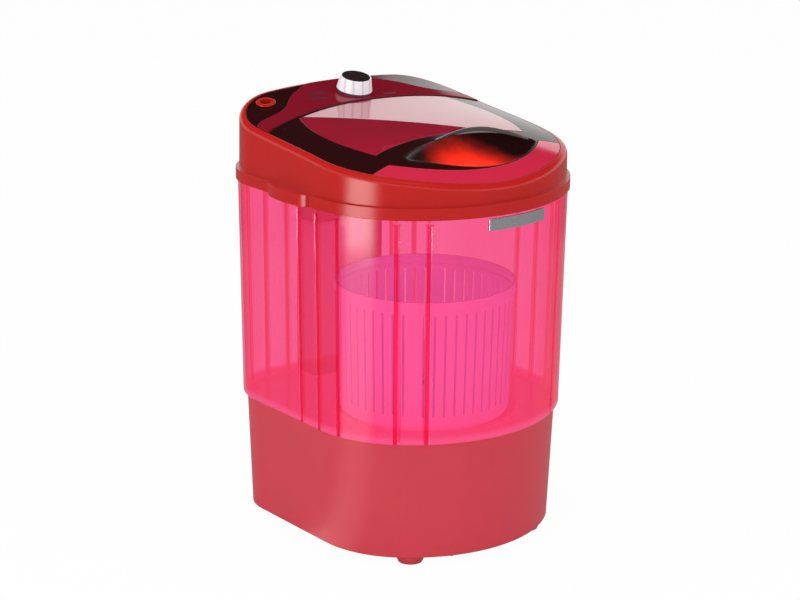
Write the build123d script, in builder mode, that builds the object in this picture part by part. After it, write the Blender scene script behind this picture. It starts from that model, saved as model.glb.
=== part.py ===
from build123d import *
import os
from math import asin, atan2, cos, degrees, hypot, radians, sin, sqrt

# A compact single-tub washing machine: a D-shaped base with the drive in it, a see-through
# tub with a basket, and a sloping top with a dial, a water inlet and a hinged lid.
# Millimetres, +Z up, the front faces -Y, the floor is Z = 0.

os.makedirs("parts", exist_ok=True)

# Plan of the body at the foot of the base: bowed front, straight sides, flat back
HALF_WIDTH = 166.0
FRONT_RADIUS = 188.2
BACK_DEPTH = 164.9
SHOULDER_RADIUS = 127.2
CORNER_RADIUS = 64.9

# Heights of the stacked mouldings
FOOT_HEIGHT = 13.0
BASE_HEIGHT = 153.0
TUB_HEIGHT = 305.0
RING_HEIGHT = 70.3
LIP_HEIGHT = 15.0
LIP_SHOULDER = 2.0

# How far each moulding stands out from the plan, and how it flares
BASE_FLARE = 6.1
TUB_STEP = 5.4
TUB_FLARE = 5.0
RING_STEP = 2.0
RING_TAPER = 1.4
LIP_WALL = 2.2

# Walls and gaps
WALL = 3.0
SEAT_GAP = 0.3
SHUT_GAP = 1.0
RUN_FIT = 0.05
SCREW_FIT = 0.05
PRESS_FIT = 0.02

# Sloping top surface: a cubic rise from front to back with a crown across
TOP_TURN_Y = 20.0
TOP_SLOPE = 0.09
FRONT_BEND = 2.6e-6
REAR_BEND = 2.1e-6
CROWN_RADIUS = 1456.0
CROWN_BEND = 7.5e-9
LEDGE_DROP = 3.0
RIM_ROUND = 6.5
OPENING_GROW = -12.0
OPENING_BACK = 112.0

# Carrying grips that bulge from the lip
GRIP_Y = 5.0
GRIP_HALF_LENGTH = 43.0
GRIP_REACH = 12.0

# Flutes pressed into the tub wall, by their run along the plan from the middle of its front
FLUTE_WIDTH = 9.0
FLUTE_DEPTH = 2.2
FLUTE_TOP_GAP = 21.0
FRONT_FLUTES = (108.0, 148.0, 228.0, 264.0, 302.0)
REAR_FLUTES = (71.0, 105.0, 141.0)

# Round well in the tub floor, with the drive under it
WELL_Y = -35.2
WELL_RADIUS = 121.0
WELL_DEPTH = 22.0

# Badge plate under the lip, bare
BADGE_X = 12.0
BADGE_LENGTH = 92.0
BADGE_HEIGHT = 15.0
BADGE_THICKNESS = 3.0
BADGE_DROP = 3.0

# Wire duct and timer box on the back wall of the tub
DUCT_HALF_WIDTH = 57.0
DUCT_FRONT_Y = 129.0
DUCT_BACK_Y = 172.0
DUCT_HEIGHT = 209.0
DUCT_WALL = 2.5
DUCT_ROUND = 8.0
TIMER_BOX_HEIGHT = 135.0

# Control panel, rear trims and front trim on the ledge
PANEL_RAISE = 1.5
PANEL_EDGE = (
    (0.0, 174.0), (50.5, 165.0), (70.0, 153.6), (88.5, 141.0), (107.0, 122.0), (123.5, 110.5),
    (141.5, 105.8), (158.0, 103.0), (176.0, 92.0),
)
PORT_X = -125.0
PORT_Y = 144.0
PORT_RADIUS = 13.0
PORT_BORE = 8.0
PORT_WALL = 2.5
PORT_LENGTH = 30.0
PORT_FLANGE = 2.0
PORT_FLANGE_LIFT = 1.0
TRIM_INNER_RADIUS = 162.0
TRIM_CENTRE_Y = -4.0
TRIM_END_Y = -86.3
TRIM_END_FALL = 0.227

# Lid: plan, window, scoop and hinge
LID_GROW = 4.5
LID_THICKNESS = 2.7
LID_BACK_Y = 93.0
LID_BACK_RADIUS = 700.0
LID_CORNER = 6.0
LID_RIB_HEIGHT = 8.0
WINDOW_FRONT_X = 118.0
WINDOW_FRONT_Y = -84.0
WINDOW_BOW = 18.0
WINDOW_SIDE_X = 133.0
WINDOW_REAR_X = 119.0
WINDOW_REAR_Y = 77.0
WINDOW_BACK_Y = 89.0
WINDOW_SEAT = 4.0
WINDOW_THICKNESS = 1.7
WINDOW_FIT = 0.2
WINDOW_PROUD = 0.4
SCOOP_STATIONS = (
    (-90.0, -116.5, -108.5, 1.5),
    (-62.0, -137.0, -95.0, 10.0),
    (-15.0, -159.5, -82.0, 16.0),
    (40.0, -158.5, -77.0, 17.0),
    (85.0, -138.5, -90.0, 11.0),
    (112.0, -117.5, -109.5, 1.5),
)
SCOOP_WALL = 2.2
HANDLE_THICKNESS = 2.6
HANDLE_LEFT = (-24.0, -82.0)
HANDLE_MIDDLE = (52.0, -79.0)
HANDLE_RIGHT = (104.0, -112.0)
HANDLE_WAVE = ((-23.0, 0.0, 1.0), (10.0, 0.2, 3.0), (52.0, 2.6, 5.5), (84.0, 1.0, 5.0), (103.0, 0.0, 2.0))
HINGE_Y = 65.0
HINGE_Z = 523.3
HINGE_LUG_X = 146.0
HINGE_LUG_WIDTH = 6.0
HINGE_LUG_RADIUS = 3.5
HINGE_BOSS_RADIUS = 2.8
HINGE_PIN_RADIUS = 1.5
HINGE_PIN_LENGTH = 22.0
SWING_GAP = 0.8

# Timer dial, tilted toward the front
DIAL_Y = 121.8
DIAL_TILT = 12.0
DIAL_COLLAR_RADIUS = 22.5
DIAL_COLLAR_HEIGHT = 4.0
DIAL_GAP = 0.8
DIAL_HEIGHT = 17.0
DIAL_FOOT_RADIUS = 23.7
DIAL_TOP_RADIUS = 20.4
DIAL_SIDES = 36
DIAL_CAP_RADIUS = 18.8
DIAL_CAP_DEPTH = 2.0
DIAL_CAP_PROUD = 0.8
TIMER_SHAFT_RADIUS = 3.0
TIMER_WIDTH = 44.0
TIMER_FRONT = 10.0
TIMER_BACK = 20.0
TIMER_DEPTH = 26.0
TIMER_TOP_DROP = 9.0
TIMER_NECK_RADIUS = 6.5

# Basket with slotted wall
BASKET_RIM_RADIUS = 117.0
BASKET_FOOT_RADIUS = 111.0
BASKET_HEIGHT = 175.0
BASKET_WALL = 2.5
BASKET_BAND = 13.8
BASKET_BAND_STEP = 1.5
BASKET_FOOT_ROUND = 11.0
BASKET_SLOT_WIDTH = 3.0
BASKET_SLOT_FOOT = 22.0
BASKET_SLOT_GAP = 4.0
BASKET_SLOT_GROUPS = 4
BASKET_SLOTS_IN_GROUP = 12
BASKET_SLOT_ANGLE = 7.0
BASKET_LIFT_GAP = 0.5
BASKET_HUB_HEIGHT = 30.0
BASKET_DRAINS = 12
BASKET_DRAIN_RADIUS = 4.0

# Pulsator
PULSATOR_RADIUS = 85.0
PULSATOR_THICKNESS = 6.0
PULSATOR_GAP = 3.0
PULSATOR_BOSS_RADIUS = 14.0
PULSATOR_BOSS_HEIGHT = 43.0
PULSATOR_VANES = 4
PULSATOR_VANE_HEIGHT = 5.0

# Drive under the well
SHAFT_RADIUS = 5.0
SHAFT_FOOT = 31.0
SHAFT_COVER = 5.0
BEARING_RADIUS = 14.0
BEARING_LENGTH = 81.0
BEARING_FLANGE_RADIUS = 30.0
BUSH_RADIUS = 9.0
BUSH_LENGTH = 14.0
BEARING_SCREW_CIRCLE = 22.0
DRIVEN_PITCH = 45.0
DRIVING_PITCH = 12.0
BELT_THICKNESS = 3.0
BELT_WIDTH = 6.0
BELT_Z = 40.0
BELT_GAP = 0.3
PULLEY_FLANGE = 2.0
PULLEY_HUB_RADIUS = 12.0
PULLEY_WEB = 3.0
PULLEY_HOLES = 5
PULLEY_HOLE_RADIUS = 7.0
MOTOR_Y = 75.0
MOTOR_RADIUS = 42.0
MOTOR_HEIGHT = 74.0
MOTOR_FOOT = 57.0
MOTOR_SHAFT_RADIUS = 4.0
MOTOR_SHAFT_FOOT = 32.0
MOTOR_SHAFT_LENGTH = 109.0
MOTOR_ROUND = 8.0
MOTOR_PLATE_X = 110.0
MOTOR_PLATE_Y = 100.0
MOTOR_PLATE_THICKNESS = 2.0
MOTOR_POST_X = 84.0
MOTOR_POST_Y = 76.0
MOTOR_POST_RADIUS = 6.0
GROMMET_RADIUS = 8.0
GROMMET_HEIGHT = 4.0
FAN_RADIUS = 36.0
FAN_HEIGHT = 7.0
FAN_BLADES = 7
CAPACITOR_X = -90.0
CAPACITOR_Y = 80.0
CAPACITOR_RADIUS = 17.0
CAPACITOR_HEIGHT = 55.0

# Drain and cable gland
DRAIN_X = 85.0
DRAIN_Y = 72.0
DRAIN_RADIUS = 10.0
DRAIN_BORE = 7.5
DRAIN_OUTLET_Z = 48.0
DRAIN_BEND = 25.0
DRAIN_SPIGOT = 12.0
DRAIN_SPIGOT_RADIUS = 9.0
DRAIN_SOCKET_DEPTH = 18.0
GLAND_X = -85.0
GLAND_Z = 53.0
GLAND_RADIUS = 8.0
GLAND_FLANGE_RADIUS = 11.0
GLAND_FLANGE = 3.0
GLAND_BORE = 3.8

# Feet, plates and screws
FOOT_FRONT_INSET = (70.0, 54.2)
FOOT_REAR_INSET = (61.0, 54.9)
FOOT_TOP_RADIUS = 21.0
FOOT_SOLE_RADIUS = 15.5
FOOT_ROUND = 1.5
BOSS_RADIUS = 5.0
BOSS_RUNS = (60.0, 290.0, 411.0)
BASE_BOSS_HEIGHT = 25.0
TUB_BOSS_HEIGHT = 12.0
SHELF_WIDTH = 18.0
SCREW_RADIUS = 2.0
SCREW_HEAD_RADIUS = 4.2
SCREW_HEAD = 2.2
SCREW_LENGTH = 12.0

# Worked-out levels and offsets
ARC_Y = (FRONT_RADIUS - BACK_DEPTH) / 2
SEAM = FOOT_HEIGHT + BASE_HEIGHT
RIM = SEAM + TUB_HEIGHT
TOP_LEVEL = RIM + RING_HEIGHT
TOP_SPAN = HALF_WIDTH + 45.0
SKY = TOP_LEVEL + 60.0
SKY_TOP = SKY + RING_HEIGHT
TUB_LOW_GROW = BASE_FLARE + TUB_STEP
TUB_HIGH_GROW = TUB_LOW_GROW + TUB_FLARE
RING_GROW = TUB_HIGH_GROW - RING_STEP
RING_TOP_GROW = RING_GROW - RING_TAPER
LIP_GROW = TUB_HIGH_GROW + SEAT_GAP + LIP_WALL
FLOOR_TOP = SEAM + WALL
WELL_TOP = FLOOR_TOP - WELL_DEPTH
WELL_FLOOR = WELL_TOP - WALL
PLATE_TOP = FOOT_HEIGHT + WALL
LID_EDGE_GROW = LID_GROW + SHUT_GAP


def level(height):
    """Horizontal plane at a height above the floor, centred on the arc of the front."""
    return Plane((0, ARC_Y, height))


def across(y, z=0.0):
    """Upright plane square to the front-to-back line, seen from the front."""
    return Plane((0, ARC_Y + y, z), x_dir=(1, 0, 0), z_dir=(0, -1, 0))


def half_plan(grow):
    """Right half of the D, grown outward, from the middle of the front to that of the back."""
    half = HALF_WIDTH + grow
    front = FRONT_RADIUS + grow
    back = BACK_DEPTH + grow
    shoulder = SHOULDER_RADIUS + grow
    corner = CORNER_RADIUS + grow
    side_x = HALF_WIDTH - SHOULDER_RADIUS
    side_y = -sqrt((FRONT_RADIUS - SHOULDER_RADIUS) ** 2 - side_x ** 2)
    meet = degrees(atan2(side_y, side_x))
    with BuildLine() as half_line:
        CenterArc((0, 0), front, -90, 90 + meet)
        CenterArc((side_x, side_y), shoulder, meet, -meet)
        Line((half, side_y), (half, back - corner))
        CenterArc((half - corner, back - corner), corner, 0, 90)
        Line((half - corner, back), (0, back))
    return half_line.wire()


def d_plan(grow=0.0):
    """Face of the D-shaped plan, grown outward by an even amount."""
    with BuildSketch() as plan:
        with BuildLine():
            add(half_plan(grow))
            mirror(about=Plane.YZ)
        make_face()
    return plan.sketch


def d_band(outer, inner):
    """Ring-shaped plan between two growths of the D."""
    with BuildSketch() as plan:
        add(d_plan(outer))
        add(d_plan(inner), mode=Mode.SUBTRACT)
    return plan.sketch


def d_body(low, low_grow, high, high_grow):
    """Solid on the D plan that flares evenly between two levels."""
    with BuildPart() as body:
        with BuildSketch(level(low)):
            add(d_plan(low_grow))
        with BuildSketch(level(high)):
            add(d_plan(high_grow))
        loft(ruled=True)
    return body.part


def edge_point(run, grow, from_back=False):
    """Point on the grown plan and its outward direction, a run along it from the middle."""
    path = half_plan(grow)
    place = path.length - run if from_back else run
    point = path.position_at(place, position_mode=PositionMode.LENGTH)
    along = path.tangent_at(place, position_mode=PositionMode.LENGTH)
    return point, Vector(along.Y, -along.X)


def top_height(x, y):
    """Height of the sloping top surface over a point of the plan."""
    ahead = y - TOP_TURN_Y
    bend = FRONT_BEND if ahead < 0 else REAR_BEND
    crown = x * x / (2 * CROWN_RADIUS) + CROWN_BEND * x ** 4
    return TOP_LEVEL + TOP_SLOPE * ahead + bend * ahead ** 3 - crown


def top_normal(x, y):
    """Direction square to the sloping top surface over a point of the plan."""
    ahead = y - TOP_TURN_Y
    bend = FRONT_BEND if ahead < 0 else REAR_BEND
    return Vector(x / CROWN_RADIUS + 4 * CROWN_BEND * x ** 3, -TOP_SLOPE - 3 * bend * ahead ** 2, 1)


def sky_block():
    """Solid of all the space above the sloping top surface."""
    stations = [TOP_TURN_Y + step * TOP_SPAN / 4 for step in range(-5, 5)]
    spread = [step * TOP_SPAN / 4 for step in range(-4, 5)]
    with BuildPart() as block:
        for y in stations:
            edge = top_height(TOP_SPAN, y)
            with BuildSketch(across(y)):
                with BuildLine():
                    Spline(*[(x, top_height(x, y)) for x in spread])
                    Polyline(
                        (TOP_SPAN, edge), (TOP_SPAN, SKY_TOP), (-TOP_SPAN, SKY_TOP), (-TOP_SPAN, edge)
                    )
                make_face()
        loft()
    return block.part


SKY_BLOCK = sky_block()


def above(rise):
    """Space above the top surface raised by a distance, or lowered if it is negative."""
    return SKY_BLOCK.moved(Location((0, 0, rise)))


def skin(plan, low, high):
    """Sheet over a flat plan, between two distances from the top surface."""
    with BuildPart() as sheet:
        with BuildSketch(level(RIM)):
            add(plan)
        extrude(amount=SKY - RIM)
        add(above(low), mode=Mode.INTERSECT)
        add(above(high), mode=Mode.SUBTRACT)
    return sheet.part


def flute_rods(radius):
    """Upright rods with round heads, one along each flute, leaning with the tub wall."""
    foot_z = SEAM - WALL
    head_z = RIM - FLUTE_TOP_GAP
    lean = TUB_FLARE / TUB_HEIGHT
    middle_grow = TUB_LOW_GROW + TUB_FLARE / 2
    middle_z = SEAM + TUB_HEIGHT / 2
    outset = groove_radius - FLUTE_DEPTH
    runs = [(run, False) for run in FRONT_FLUTES] + [(run, True) for run in REAR_FLUTES]
    with BuildPart() as rods:
        for run, from_back in runs:
            point, outward = edge_point(run, middle_grow, from_back)
            foot = point + outward * (outset + (foot_z - middle_z) * lean)
            head = point + outward * (outset + (head_z - middle_z) * lean)
            start = Vector(foot.X, foot.Y + ARC_Y, foot_z)
            end = Vector(head.X, head.Y + ARC_Y, head_z)
            with BuildSketch(Plane(start, z_dir=end - start)):
                Circle(radius)
            extrude(amount=(end - start).length)
            with Locations(end):
                Sphere(radius)
        mirror(about=Plane.YZ)
    return rods.part


def screw(height, down=True):
    """Pan-head screw whose head bears at a height, with its shank pointing down or up."""
    way = -1 if down else 1
    with BuildPart() as body:
        with BuildSketch(Plane.XY.offset(height)):
            Circle(SCREW_RADIUS)
        extrude(amount=way * SCREW_LENGTH)
        with BuildSketch(Plane.XY.offset(height)):
            Circle(SCREW_HEAD_RADIUS)
        extrude(amount=-way * SCREW_HEAD, taper=15)
    return body.part


def short_screw(height):
    """Small screw that comes up from a height, half as long as the others."""
    with BuildPart() as body:
        with BuildSketch(Plane.XY.offset(height)):
            Circle(SCREW_RADIUS)
        extrude(amount=SCREW_LENGTH / 2 - SEAT_GAP)
        with BuildSketch(Plane.XY.offset(height)):
            Circle(SCREW_HEAD_RADIUS)
        extrude(amount=-SCREW_HEAD, taper=15)
    return body.part


def plan_spots(runs, grow):
    """Points on the plan at the given runs, on both sides."""
    spots = []
    for run in runs:
        point, outward = edge_point(run, grow)
        spots += [(point.X, point.Y), (-point.X, point.Y)]
    return spots


def pulley(pitch, bore, foot):
    """Belt pulley with a hub, a web and a groove round its rim, standing at the origin."""
    groove = pitch - BELT_THICKNESS / 2 - BELT_GAP
    flange = pitch + BELT_THICKNESS / 2 + PULLEY_FLANGE / 2
    groove_height = BELT_WIDTH + 2 * BELT_GAP
    with BuildPart() as wheel:
        with BuildSketch(Plane.XY.offset(foot)):
            Circle(flange)
        extrude(amount=groove_height + 2 * PULLEY_FLANGE)
        with BuildSketch(Plane.XY.offset(foot + PULLEY_FLANGE)):
            Circle(flange)
            Circle(groove, mode=Mode.SUBTRACT)
        extrude(amount=groove_height, mode=Mode.SUBTRACT)
        with BuildSketch(Plane.XY.offset(foot)):
            Circle(bore + PRESS_FIT)
        extrude(amount=groove_height + 2 * PULLEY_FLANGE, mode=Mode.SUBTRACT)
    return wheel.part


def save(part, name):
    """Names a finished piece and writes it."""
    part.label = name
    export_step(part, f"parts/{name}.step")


groove_radius = (FLUTE_WIDTH ** 2 / 4 + FLUTE_DEPTH ** 2) / (2 * FLUTE_DEPTH)
base_screw_spots = plan_spots(BOSS_RUNS, -WALL - BOSS_RADIUS + 1.0)
tub_screw_spots = plan_spots(BOSS_RUNS, -WALL - BOSS_RADIUS)
foot_front = (HALF_WIDTH - FOOT_FRONT_INSET[0], FOOT_FRONT_INSET[1] - FRONT_RADIUS)
foot_rear = (HALF_WIDTH - FOOT_REAR_INSET[0], BACK_DEPTH - FOOT_REAR_INSET[1])
foot_spots = [(side * x, y) for x, y in (foot_front, foot_rear) for side in (-1, 1)]
motor_spots = [(x * MOTOR_POST_X / 2, MOTOR_Y + y * MOTOR_POST_Y / 2) for x in (-1, 1) for y in (-1, 1)]

# Base housing: flared wall, an inner shelf that carries the tub, bosses for the bottom plate
shelf_top = SEAM - TUB_BOSS_HEIGHT
with BuildPart() as base_housing:
    add(d_body(FOOT_HEIGHT, 0, SEAM, BASE_FLARE))
    add(d_body(FOOT_HEIGHT, -WALL, SEAM, BASE_FLARE - WALL), mode=Mode.SUBTRACT)
    with BuildSketch(level(shelf_top)):
        add(d_band(BASE_FLARE - WALL, -SHELF_WIDTH))
        with Locations(*tub_screw_spots):
            Circle(SCREW_RADIUS + SCREW_FIT, mode=Mode.SUBTRACT)
    extrude(amount=-WALL)
    with BuildSketch(level(PLATE_TOP)):
        with Locations(*base_screw_spots):
            Circle(BOSS_RADIUS)
            Circle(SCREW_RADIUS, mode=Mode.SUBTRACT)
    extrude(amount=BASE_BOSS_HEIGHT)
    with BuildSketch(across(BACK_DEPTH + 2 * WALL)):
        with Locations((DRAIN_X, DRAIN_OUTLET_Z)):
            Circle(DRAIN_RADIUS + SCREW_FIT)
        with Locations((GLAND_X, GLAND_Z)):
            Circle(GLAND_RADIUS + SCREW_FIT)
    extrude(amount=-6 * WALL, both=True, mode=Mode.SUBTRACT)
save(base_housing.part, "base_housing")

# Bottom plate, inside the foot of the base, with the four motor posts
post_top = MOTOR_FOOT - MOTOR_PLATE_THICKNESS - GROMMET_HEIGHT
with BuildPart() as base_plate:
    with BuildSketch(level(FOOT_HEIGHT)):
        add(d_plan(-WALL - SEAT_GAP))
    extrude(amount=WALL)
    with BuildSketch(level(PLATE_TOP)):
        with Locations(*motor_spots):
            Circle(MOTOR_POST_RADIUS)
    extrude(amount=post_top - PLATE_TOP)
    with BuildSketch(level(post_top)):
        with Locations(*motor_spots):
            Circle(SCREW_RADIUS + PRESS_FIT)
    extrude(amount=-SCREW_LENGTH, mode=Mode.SUBTRACT)
    with BuildSketch(level(FOOT_HEIGHT)):
        with Locations(*base_screw_spots, *foot_spots):
            Circle(SCREW_RADIUS + SCREW_FIT)
    extrude(amount=WALL, mode=Mode.SUBTRACT)
save(base_plate.part, "base_plate")

# Feet: tapered cups screwed on from inside
for foot_name, spot in zip(
    ("foot_front_left", "foot_front_right", "foot_rear_left", "foot_rear_right"), foot_spots
):
    with BuildPart() as foot:
        with BuildSketch(Plane((spot[0], ARC_Y + spot[1], 0))):
            Circle(FOOT_SOLE_RADIUS)
        with BuildSketch(Plane((spot[0], ARC_Y + spot[1], FOOT_HEIGHT))):
            Circle(FOOT_TOP_RADIUS)
        loft(ruled=True)
        fillet(foot.edges().group_by(Axis.Z)[0], FOOT_ROUND)
        with BuildSketch(Plane((spot[0], ARC_Y + spot[1], FOOT_HEIGHT))):
            Circle(SCREW_RADIUS)
        extrude(amount=-(SCREW_LENGTH - WALL), mode=Mode.SUBTRACT)
    save(foot.part, foot_name)

with BuildPart() as foot_screws:
    with Locations(*[(x, ARC_Y + y) for x, y in foot_spots]):
        add(screw(PLATE_TOP))
save(foot_screws.part, "foot_screws")

with BuildPart() as base_screws:
    with Locations(*[(x, ARC_Y + y) for x, y in base_screw_spots]):
        add(screw(FOOT_HEIGHT, down=False))
save(base_screws.part, "base_screws")

with BuildPart() as tub_screws:
    with Locations(*[(x, ARC_Y + y) for x, y in tub_screw_spots]):
        add(screw(shelf_top - WALL, down=False))
save(tub_screws.part, "tub_screws")

# Tub: see-through wall with pressed flutes, floor with a round well, drain socket and bosses
with BuildPart() as flute_bumps:
    add(flute_rods(groove_radius + WALL))
    add(
        d_body(FLOOR_TOP, TUB_LOW_GROW - WALL + 1, RIM, TUB_HIGH_GROW - WALL + 1),
        mode=Mode.INTERSECT,
    )

with BuildPart() as wash_tub:
    add(d_body(SEAM, TUB_LOW_GROW, RIM, TUB_HIGH_GROW))
    fillet(wash_tub.edges().group_by(Axis.Z)[0], 2 * WALL)
    add(d_body(FLOOR_TOP, TUB_LOW_GROW - WALL, RIM, TUB_HIGH_GROW - WALL), mode=Mode.SUBTRACT)
    add(flute_bumps.part)
    add(flute_rods(groove_radius), mode=Mode.SUBTRACT)
    with BuildSketch(level(WELL_FLOOR)):
        with Locations((0, WELL_Y)):
            Circle(WELL_RADIUS + WALL)
    extrude(amount=FLOOR_TOP - WELL_FLOOR)
    with BuildSketch(level(SEAM)):
        with Locations((DRAIN_X, DRAIN_Y)):
            Circle(DRAIN_RADIUS + WALL)
    extrude(amount=-DRAIN_SOCKET_DEPTH)
    with BuildSketch(level(SEAM)):
        with Locations(*tub_screw_spots):
            Circle(BOSS_RADIUS)
    extrude(amount=-TUB_BOSS_HEIGHT)
    with BuildSketch(level(WELL_TOP)):
        with Locations((0, WELL_Y)):
            Circle(WELL_RADIUS)
    extrude(amount=WELL_DEPTH, mode=Mode.SUBTRACT)
    with BuildSketch(level(WELL_FLOOR)):
        with Locations((0, WELL_Y)):
            Circle(BUSH_RADIUS + SCREW_FIT)
            with PolarLocations(BEARING_SCREW_CIRCLE, 4, start_angle=45):
                Circle(SCREW_RADIUS)
    extrude(amount=WALL, mode=Mode.SUBTRACT)
    with BuildSketch(level(FLOOR_TOP)):
        with Locations((DRAIN_X, DRAIN_Y)):
            Circle(DRAIN_BORE)
    extrude(amount=-2 * WALL, mode=Mode.SUBTRACT)
    with BuildSketch(level(SEAM - WALL)):
        with Locations((DRAIN_X, DRAIN_Y)):
            Circle(DRAIN_RADIUS + SCREW_FIT)
    extrude(amount=WALL - DRAIN_SOCKET_DEPTH, mode=Mode.SUBTRACT)
    with BuildSketch(level(shelf_top)):
        with Locations(*tub_screw_spots):
            Circle(SCREW_RADIUS)
    extrude(amount=SCREW_LENGTH - WALL, mode=Mode.SUBTRACT)
save(wash_tub.part, "wash_tub")

# Wire duct: a channel up the back wall, with the timer box on top of it
with BuildPart() as wire_duct:
    with BuildSketch(level(FLOOR_TOP)):
        with Locations((0, DUCT_FRONT_Y)):
            Rectangle(
                2 * DUCT_HALF_WIDTH, DUCT_BACK_Y - DUCT_FRONT_Y, align=(Align.CENTER, Align.MIN)
            )
    extrude(amount=DUCT_HEIGHT)
    fillet(wire_duct.edges().filter_by(Axis.Z).group_by(Axis.Y)[0], DUCT_ROUND)
    with BuildSketch(level(FLOOR_TOP)):
        with Locations((0, DUCT_FRONT_Y + DUCT_WALL)):
            Rectangle(
                2 * (DUCT_HALF_WIDTH - DUCT_WALL), DUCT_BACK_Y, align=(Align.CENTER, Align.MIN)
            )
    extrude(amount=DUCT_HEIGHT, mode=Mode.SUBTRACT)
save(wire_duct.part, "wire_duct")

box_foot = FLOOR_TOP + DUCT_HEIGHT
with BuildPart() as timer_box:
    with BuildSketch(level(box_foot)):
        with Locations((0, DUCT_FRONT_Y)):
            Rectangle(
                2 * DUCT_HALF_WIDTH, DUCT_BACK_Y - DUCT_FRONT_Y, align=(Align.CENTER, Align.MIN)
            )
    extrude(amount=TIMER_BOX_HEIGHT)
    fillet(timer_box.edges().filter_by(Axis.Z).group_by(Axis.Y)[0], DUCT_ROUND)
    with BuildSketch(level(box_foot + DUCT_WALL)):
        with Locations((0, DUCT_FRONT_Y + DUCT_WALL)):
            Rectangle(
                2 * (DUCT_HALF_WIDTH - DUCT_WALL),
                DUCT_BACK_Y - DUCT_FRONT_Y - 2 * DUCT_WALL,
                align=(Align.CENTER, Align.MIN),
            )
    extrude(amount=TIMER_BOX_HEIGHT, mode=Mode.SUBTRACT)
    with BuildSketch(level(box_foot + TIMER_BOX_HEIGHT)):
        with Locations((0, DUCT_BACK_Y)):
            Rectangle(2 * DUCT_HALF_WIDTH, DUCT_WALL, align=(Align.CENTER, Align.MAX))
    extrude(amount=SKY - box_foot - TIMER_BOX_HEIGHT)
    add(above(-LEDGE_DROP - WALL), mode=Mode.SUBTRACT)
save(timer_box.part, "timer_box")

# Space that the rear part of the lid swings through, turned about the hinge line
hinge_plane = Plane((0, ARC_Y + HINGE_Y, HINGE_Z), x_dir=(1, 0, 0), z_dir=(0, -1, 0))


def lid_back(x):
    """Back edge of the lid, as a distance behind the middle of the front arc."""
    return LID_BACK_Y - LID_BACK_RADIUS + sqrt(LID_BACK_RADIUS ** 2 - x * x)


def swing_radius(x):
    """Distance of the lid's back edge from the hinge line, with its clearance."""
    edge = lid_back(x)
    return hypot(edge - HINGE_Y, top_height(x, edge) - HINGE_Z) + SWING_GAP


swing_end = HALF_WIDTH + LID_EDGE_GROW
swing_stations = [swing_end * step / 4 for step in range(-4, 5)]
with BuildPart() as swing_zone:
    with BuildSketch(hinge_plane):
        with BuildLine():
            Spline(*[(x, swing_radius(x)) for x in swing_stations])
            Polyline(
                (swing_end, swing_radius(swing_end)),
                (swing_end, 0),
                (-swing_end, 0),
                (-swing_end, swing_radius(swing_end)),
            )
        make_face()
    revolve(axis=Axis((0, ARC_Y + HINGE_Y, HINGE_Z), (1, 0, 0)))

# Plans of the pieces that fill the top
with BuildSketch() as lid_disc:
    with Locations((0, LID_BACK_Y - LID_BACK_RADIUS)):
        Circle(LID_BACK_RADIUS)
with BuildSketch() as lid_disc_clear:
    with Locations((0, LID_BACK_Y - LID_BACK_RADIUS)):
        Circle(LID_BACK_RADIUS + SHUT_GAP)


def front_zone(shift):
    """Part of the plan in front of the ends of the front trim, moved back by a shift."""
    far = 2 * HALF_WIDTH
    with BuildSketch() as zone:
        with BuildLine():
            Polyline(
                (0, TRIM_END_Y + shift),
                (far, TRIM_END_Y + shift - TRIM_END_FALL * far),
                (far, -far),
                (-far, -far),
                (-far, TRIM_END_Y + shift - TRIM_END_FALL * far),
                close=True,
            )
        make_face()
    return zone.sketch


with BuildSketch() as trim_plan:
    add(d_plan(LID_GROW))
    with Locations((0, TRIM_CENTRE_Y)):
        Circle(TRIM_INNER_RADIUS, mode=Mode.SUBTRACT)
    add(front_zone(0), mode=Mode.INTERSECT)
with BuildSketch() as trim_space:
    add(front_zone(SHUT_GAP))
    with Locations((0, TRIM_CENTRE_Y)):
        Circle(TRIM_INNER_RADIUS - SHUT_GAP, mode=Mode.SUBTRACT)
with BuildSketch() as lid_plan:
    add(d_plan(LID_GROW))
    add(lid_disc.sketch, mode=Mode.INTERSECT)
    add(trim_space.sketch, mode=Mode.SUBTRACT)
    fillet(lid_plan.vertices().group_by(Axis.Y)[-1], LID_CORNER)
with BuildSketch() as panel_plan:
    with BuildLine():
        Spline(*PANEL_EDGE, tangents=((1, 0), (1, -0.8)))
        Polyline(PANEL_EDGE[-1], (PANEL_EDGE[-1][0], HINGE_Y), (0, HINGE_Y), PANEL_EDGE[0])
    make_face()
    mirror(about=Plane.YZ)
    add(d_plan(LID_GROW), mode=Mode.INTERSECT)
    add(lid_disc_clear.sketch, mode=Mode.SUBTRACT)
with BuildSketch() as rear_plan:
    add(d_plan(LID_GROW))
    add(lid_disc_clear.sketch, mode=Mode.SUBTRACT)
    add(panel_plan.sketch, mode=Mode.SUBTRACT)
with BuildSketch() as opening_plan:
    add(d_plan(OPENING_GROW))
    with Locations((0, OPENING_BACK)):
        Rectangle(4 * HALF_WIDTH, HALF_WIDTH, align=(Align.CENTER, Align.MIN), mode=Mode.SUBTRACT)

dial_top = top_height(0, DIAL_Y) + PANEL_RAISE
dial_plane = Plane(
    (0, ARC_Y + DIAL_Y, dial_top),
    x_dir=(1, 0, 0),
    z_dir=(0, -sin(radians(DIAL_TILT)), cos(radians(DIAL_TILT))),
)
dial_axis = Axis(dial_plane.origin, dial_plane.z_dir)
port_plane = Plane(
    (PORT_X, ARC_Y + PORT_Y, top_height(PORT_X, PORT_Y)), z_dir=top_normal(PORT_X, PORT_Y)
)

port_axis = Axis(port_plane.origin, port_plane.z_dir)

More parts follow.
